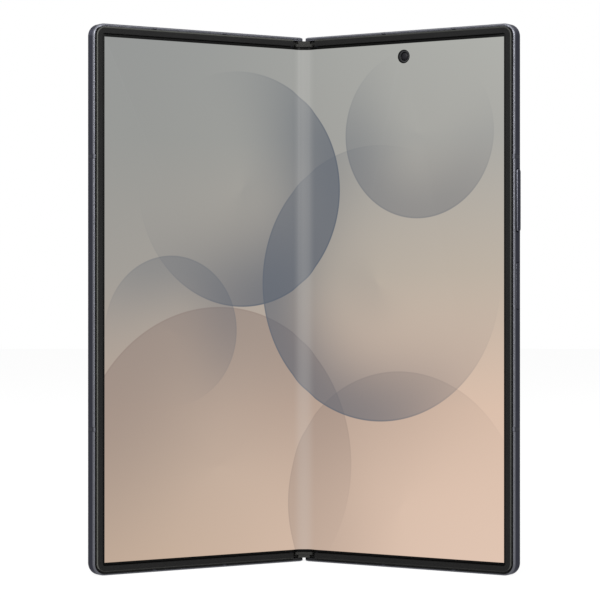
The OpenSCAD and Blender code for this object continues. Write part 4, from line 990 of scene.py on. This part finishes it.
# %% Spin the flash
phosphor = grained(0.3, 3, (214, 196, 120), (238, 226, 164), 0.5, 0.1, 0.01)
pressed_cap = grained(0.5, 2, (246, 242, 226), (252, 250, 240), 0.08, 0.04)
FLASH_X, FLASH_Z, FLASH_R = ISLAND_X - 13.5, ISLAND_Z + LENS_STEP, 2.2
RIDGES, RIDGE_STEP = 7, 0.27
bm = bmesh.new()
spun(bm, [(0, 2.15), (2.15, 2.15), (2.15, 3.5), (1.2, 3.55), (0, 3.55)], FLASH_X, FLASH_Z, 0, 48)
ridges = []
for i in range(RIDGES):
    r = 1.95 - i * RIDGE_STEP
    ridges += [(r, HALF_T - 0.12), (r - 0.2, HALF_T - 0.02)]
wall = [(0, 3.62), (FLASH_R, 3.62), (FLASH_R, HALF_T - 0.05), (FLASH_R - 0.1, HALF_T - 0.02)]
spun(bm, wall + ridges + [(0, HALF_T - 0.1)], FLASH_X, FLASH_Z, 1, 48)
made = piece("flash_cap", closed(bm, "flash"), RIGHT, "right_half", [
    finish("phosphor", RIGHT, phosphor), finish("pressed_cap", RIGHT, pressed_cap, Transmission_Weight=0.7)])
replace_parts(made, "flash_led")

# %% [markdown]
# The two keys are milled and tumbled, so their edges are soft to the finger. Their solids have sharp edges.
# A copy of each is merged, because a solid arrives as loose triangles, and its edges are bevelled by a
# tenth of a millimetre to three. The bevel toward the screen is painted lighter, a painted highlight like
# the one along the frame's edge.

# %% Soften the keys
KEY_FRONT = 1.8


def key_metal(wire, spot, side):
    made = slate(wire, spot, side)
    # The rounded bevel toward the screen is painted lighter: a painted highlight.
    bevel = rounding(wire, side) * (1 - spot.parts()[1].rise(KEY_FRONT, KEY_FRONT + 0.2))
    made["Base Color"] = bevel.mix(made["Base Color"], rgb(112, 113, 120))
    return made


def softened(name, node, width):
    """A copy of a solid with its sharp edges bevelled, in the solid's place."""
    bm = bmesh.new()
    bm.from_mesh(solid[node].data)
    bmesh.ops.remove_doubles(bm, verts=bm.verts, dist=2e-6)
    bmesh.ops.dissolve_limit(bm, angle_limit=math.radians(1), verts=bm.verts, edges=bm.edges)
    sharp = [e for e in bm.edges if len(e.link_faces) == 2 and e.calc_face_angle() > math.radians(50)]
    bmesh.ops.bevel(bm, geom=sharp, offset=width * MM, segments=2, affect="EDGES", profile=0.5,
                    clamp_overlap=True)
    mesh = bpy.data.meshes.new(name)
    bm.to_mesh(mesh)
    bm.free()
    print(f"{name}: {len(sharp)} edges softened")
    made = stand(name, mesh, [finish("key_metal", RIGHT, key_metal, Specular_Tint=DYED)], 40)
    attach(made, node)
    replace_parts(made, node)


softened("volume_cap", "volume_key", 0.28)
softened("side_cap", "side_key", 0.1)

# %% [markdown]
# What repeats is grown by Geometry Nodes: a tree with named sizes stands for the rule, and any change of a
# size remakes the row. Three things on this phone are rows of bars: the wires of the gauze that keeps dust
# out of the speakers, the contacts on the charging tongue, and the ribs on the hinge's end caps. One tree
# serves them all. It lays a bar along a line, count times, and ends in real faces with a finish.

# %% A tree that lays rows of bars
def bar_tree():
    tree = bpy.data.node_groups.new("row of bars", "GeometryNodeTree")
    face = tree.interface
    face.new_socket("Geometry", in_out="OUTPUT", socket_type="NodeSocketGeometry")
    kinds = (("Count", "Int"), ("Start", "Vector"), ("Step", "Vector"), ("Bar", "Vector"),
             ("Finish", "Material"))
    for name, kind in kinds:
        face.new_socket(name, in_out="INPUT", socket_type="NodeSocket" + kind)
    wire = Wire(tree)
    given = {name: wire.node("NodeGroupInput", out=i) for i, (name, _) in enumerate(kinds)}
    line = wire.node("GeometryNodeMeshLine", {"mode": "OFFSET"}, Count=given["Count"],
                     Start_Location=given["Start"], Offset=given["Step"])
    bar = wire.node("GeometryNodeMeshCube", Size=given["Bar"])
    row = wire.node("GeometryNodeInstanceOnPoints", Points=line, Instance=bar)
    real = wire.node("GeometryNodeRealizeInstances", Geometry=row)
    done = wire.node("GeometryNodeSetMaterial", Geometry=real, Material=given["Finish"])
    out = tree.nodes.new("NodeGroupOutput")
    tree.links.new(done.socket, out.inputs[0])
    return tree


bars = bar_tree()


def rows(name, side, body, slot, material, *sets, soft=0.0):
    """Grows one mesh from several rows: (count, start, step, bar) in flat millimetres."""
    bm = bmesh.new()
    for count, start, step, bar in sets:
        holder = bpy.data.objects.new("rows", bpy.data.meshes.new("rows"))
        bpy.context.scene.collection.objects.link(holder)
        grown = holder.modifiers.new("grow", "NODES")
        grown.node_group = bars
        given = {"Count": count, "Start": start, "Step": step, "Bar": bar, "Finish": material}
        for socket in bars.interface.items_tree:
            if socket.in_out == "INPUT":
                grown[socket.identifier] = given[socket.name]
        bpy.context.view_layer.update()
        real = bpy.data.meshes.new_from_object(holder.evaluated_get(bpy.context.evaluated_depsgraph_get()))
        holder.modifiers.remove(grown)
        bm.from_mesh(real)
        bpy.data.objects.remove(holder)
        bpy.data.meshes.remove(real)
    if soft:
        bmesh.ops.bevel(bm, geom=bm.edges[:], offset=soft, segments=1, affect="EDGES")
    return piece(name, closed(bm, name), side, body, [material], smooth=0)


# %% [markdown]
# Gauze for the speakers lies just inside the wall, behind its openings: fine wires across and a few along.
# The contacts are twelve gilded strips on each face of the tongue. The ribs stand on the face of each
# end cap, where the photographed hinge shows a finely grooved block between the two rims.

# %% Grow gauze, contacts and ribs
gauze_wire = grained(0.08, 2, (30, 30, 32), (58, 58, 62), 0.4, 0.1)
GAUZE_Y, GAUZE_IN, GAUZE_WIDE = 2.35, 1.1, 1.1
WIRE_W, WIRE_STEP, WIRES_ALONG = 0.05, 0.13, 8
for name, side, middle, span, z, body in (
    ("gauze_bottom", RIGHT, 59.8, 13.5, GAUZE_IN, "right_half"),
    ("gauze_top", LEFT, 16.5, 10.6, HEIGHT - GAUZE_IN, "left_half"),
):
    rows(name, side, body, "speaker_black", finish("gauze_wire", side, gauze_wire, Metallic=0.8),
         (int(span / WIRE_STEP), (middle - span / 2, GAUZE_Y, z), (WIRE_STEP, 0, 0),
          (WIRE_W, GAUZE_WIDE, WIRE_W)),
         (WIRES_ALONG, (middle, GAUZE_Y - 0.46, z + WIRE_W * 0.8), (0, WIRE_STEP, 0),
          (span, WIRE_W, WIRE_W)))

gilt = grained(0.4, 3, (190, 150, 78), (228, 192, 118), 0.22, 0.14, 0.002)
TONGUE_X, TONGUE_Y, TONGUE_HALF_T = 35.8, 2.25, 0.355
CONTACTS, CONTACT_STEP, CONTACT = 12, 0.5, (0.26, 0.03, 3.6)
first = TONGUE_X - (CONTACTS - 1) * CONTACT_STEP / 2
rows("port_contacts", RIGHT, "right_half", "port_steel", finish("gilt", RIGHT, gilt, Metallic=1.0),
     *[(CONTACTS, (first, TONGUE_Y + face * TONGUE_HALF_T, 3.3), (CONTACT_STEP, 0, 0), CONTACT)
       for face in (-1, 1)])

RIBS, RIB_STEP, RIB, RIB_Y, CAP_Z = 9, 0.55, (0.26, 0.1, 0.76), 0.09, 2.45
rows("cap_ribs", SPINE, "hinge_spine", "cap_plastic", finishes["cap_plastic_spine"],
     *[(RIBS, (-(RIBS - 1) * RIB_STEP / 2, RIB_Y, z), (RIB_STEP, 0, 0), RIB)
       for z in (CAP_Z, HEIGHT - CAP_Z)], soft=0.03)

# %% [markdown]
# The phone stands on a plain pale floor in an even, bright room. The room is a world that shines white, and
# less brightly on the object than it shows in the picture. Two tall softboxes, right and left of the
# camera, draw the light lines down the frames' rounded front edges. They hang above the phone, from a
# third of a metre up, so its feet stay darker than its top. Two faint ones behind the phone do the same
# for its back. One very wide sun overhead lights the floor evenly, so that it has no horizon. The floor
# shows mostly its own white and partly what lands on it, which keeps the object's shadow.

# %% Build the studio
ROOM_LIGHT, FLOOR_SIZE, FLOOR_WHITE = 0.4, 3, 0.88
CAMERA_RAY, GLOSSY_RAY, TRANSMISSION_RAY = 0, 3, 6
scene = bpy.context.scene


def shown(wire):
    """1 for what the camera sees straight, in gloss or through glass, 0 for what only lights."""
    rays = [wire.node("ShaderNodeLightPath", out=ray) for ray in (CAMERA_RAY, GLOSSY_RAY, TRANSMISSION_RAY)]
    return rays[0].at_least(rays[1]).at_least(rays[2])


scene.view_settings.view_transform = "Standard"
world = bpy.data.worlds.new("room")
scene.world = world
world.use_nodes = True
world.node_tree.nodes.clear()
wire = Wire(world.node_tree)
light = ROOM_LIGHT + shown(wire) * (1 - ROOM_LIGHT)
room = wire.node("ShaderNodeBackground", Color=(1, 1, 1, 1), Strength=light)
wire.node("ShaderNodeOutputWorld", Surface=room)

floor_mesh = bpy.data.meshes.new("floor")
bm = bmesh.new()
bmesh.ops.create_grid(bm, x_segments=8, y_segments=8, size=FLOOR_SIZE)
bm.to_mesh(floor_mesh)
bm.free()
floor = bpy.data.objects.new("floor", floor_mesh)
scene.collection.objects.link(floor)
pale = bpy.data.materials.new("pale_floor")
pale.use_nodes = True
pale.node_tree.nodes.clear()
wire = Wire(pale.node_tree)
matt = wire.node("ShaderNodeBsdfDiffuse", Color=(0.9, 0.9, 0.9, 1))
glow = wire.node("ShaderNodeEmission", Color=(1, 1, 1, 1), Strength=1.0)
both = wire.node("ShaderNodeMixShader", _0=shown(wire) * FLOOR_WHITE, _1=matt, _2=glow)
wire.node("ShaderNodeOutputMaterial", Surface=both)
floor_mesh.materials.append(pale)


AIM_Z, BOX_FAR = 0.08, 1.3


def lamp(name, kind, at, **settings):
    """A lamp at a spot: a softbox looks level at the phone's axis, the sun at the phone's middle."""
    light = bpy.data.lights.new(name, kind)
    for key, value in settings.items():
        setattr(light, key, value)
    made = bpy.data.objects.new(name, light)
    scene.collection.objects.link(made)
    made.location = at
    aim = Vector((0, 0, AIM_Z if kind == "SUN" else at[2])) - Vector(at)
    made.rotation_euler = aim.to_track_quat("-Z", "Y").to_euler()


def softbox(name, turn, width, low, high, radiance):
    """A tall lamp, turned by degrees from the camera's side toward the right."""
    a = math.radians(turn)
    watts = radiance * math.pi * width * (high - low)
    at = (BOX_FAR * math.sin(a), -BOX_FAR * math.cos(a), (low + high) / 2)
    lamp(name, "AREA", at, shape="RECTANGLE", size=width, size_y=high - low, energy=watts)


for name, turn, width, low, high, radiance in (
    ("right box", 34, 0.7, 0.34, 1.2, 13.5),
    ("left box", -30, 0.6, 0.34, 1.2, 14.5),
    ("right back box", 140, 0.5, 0.36, 1.0, 1.1),
    ("left back box", -125, 0.5, 0.36, 1.0, 2.2),
):
    softbox(name, turn, width, low, high, radiance)
lamp("overhead", "SUN", (-0.15, -0.1, 1.2), energy=1.35, angle=math.radians(75))
print("studio lit")

# %% [markdown]
# The photograph was taken straight on, from the height of the phone's middle, with a long lens about 0.7 m
# away: the edges nearer to it loom a little, and the rims run in toward the hinge. The lens and the
# distance were solved from those slopes. The tiny shift places the phone where it stands in the photograph.

# %% Place the camera
EYE_FAR = 0.67554
eye = bpy.data.cameras.new("eye")
eye.sensor_width, eye.lens = 36, 137.4
eye.shift_x, eye.shift_y = -0.00675, -0.0009
camera = bpy.data.objects.new("eye", eye)
scene.collection.objects.link(camera)
camera.location = (0, -EYE_FAR, HEIGHT / 2 * MM)
camera.rotation_euler = (math.pi / 2, 0, 0)
scene.camera = camera
print(f"the camera stands {EYE_FAR / MM:.0f} mm in front, {HEIGHT / 2:.1f} mm up")
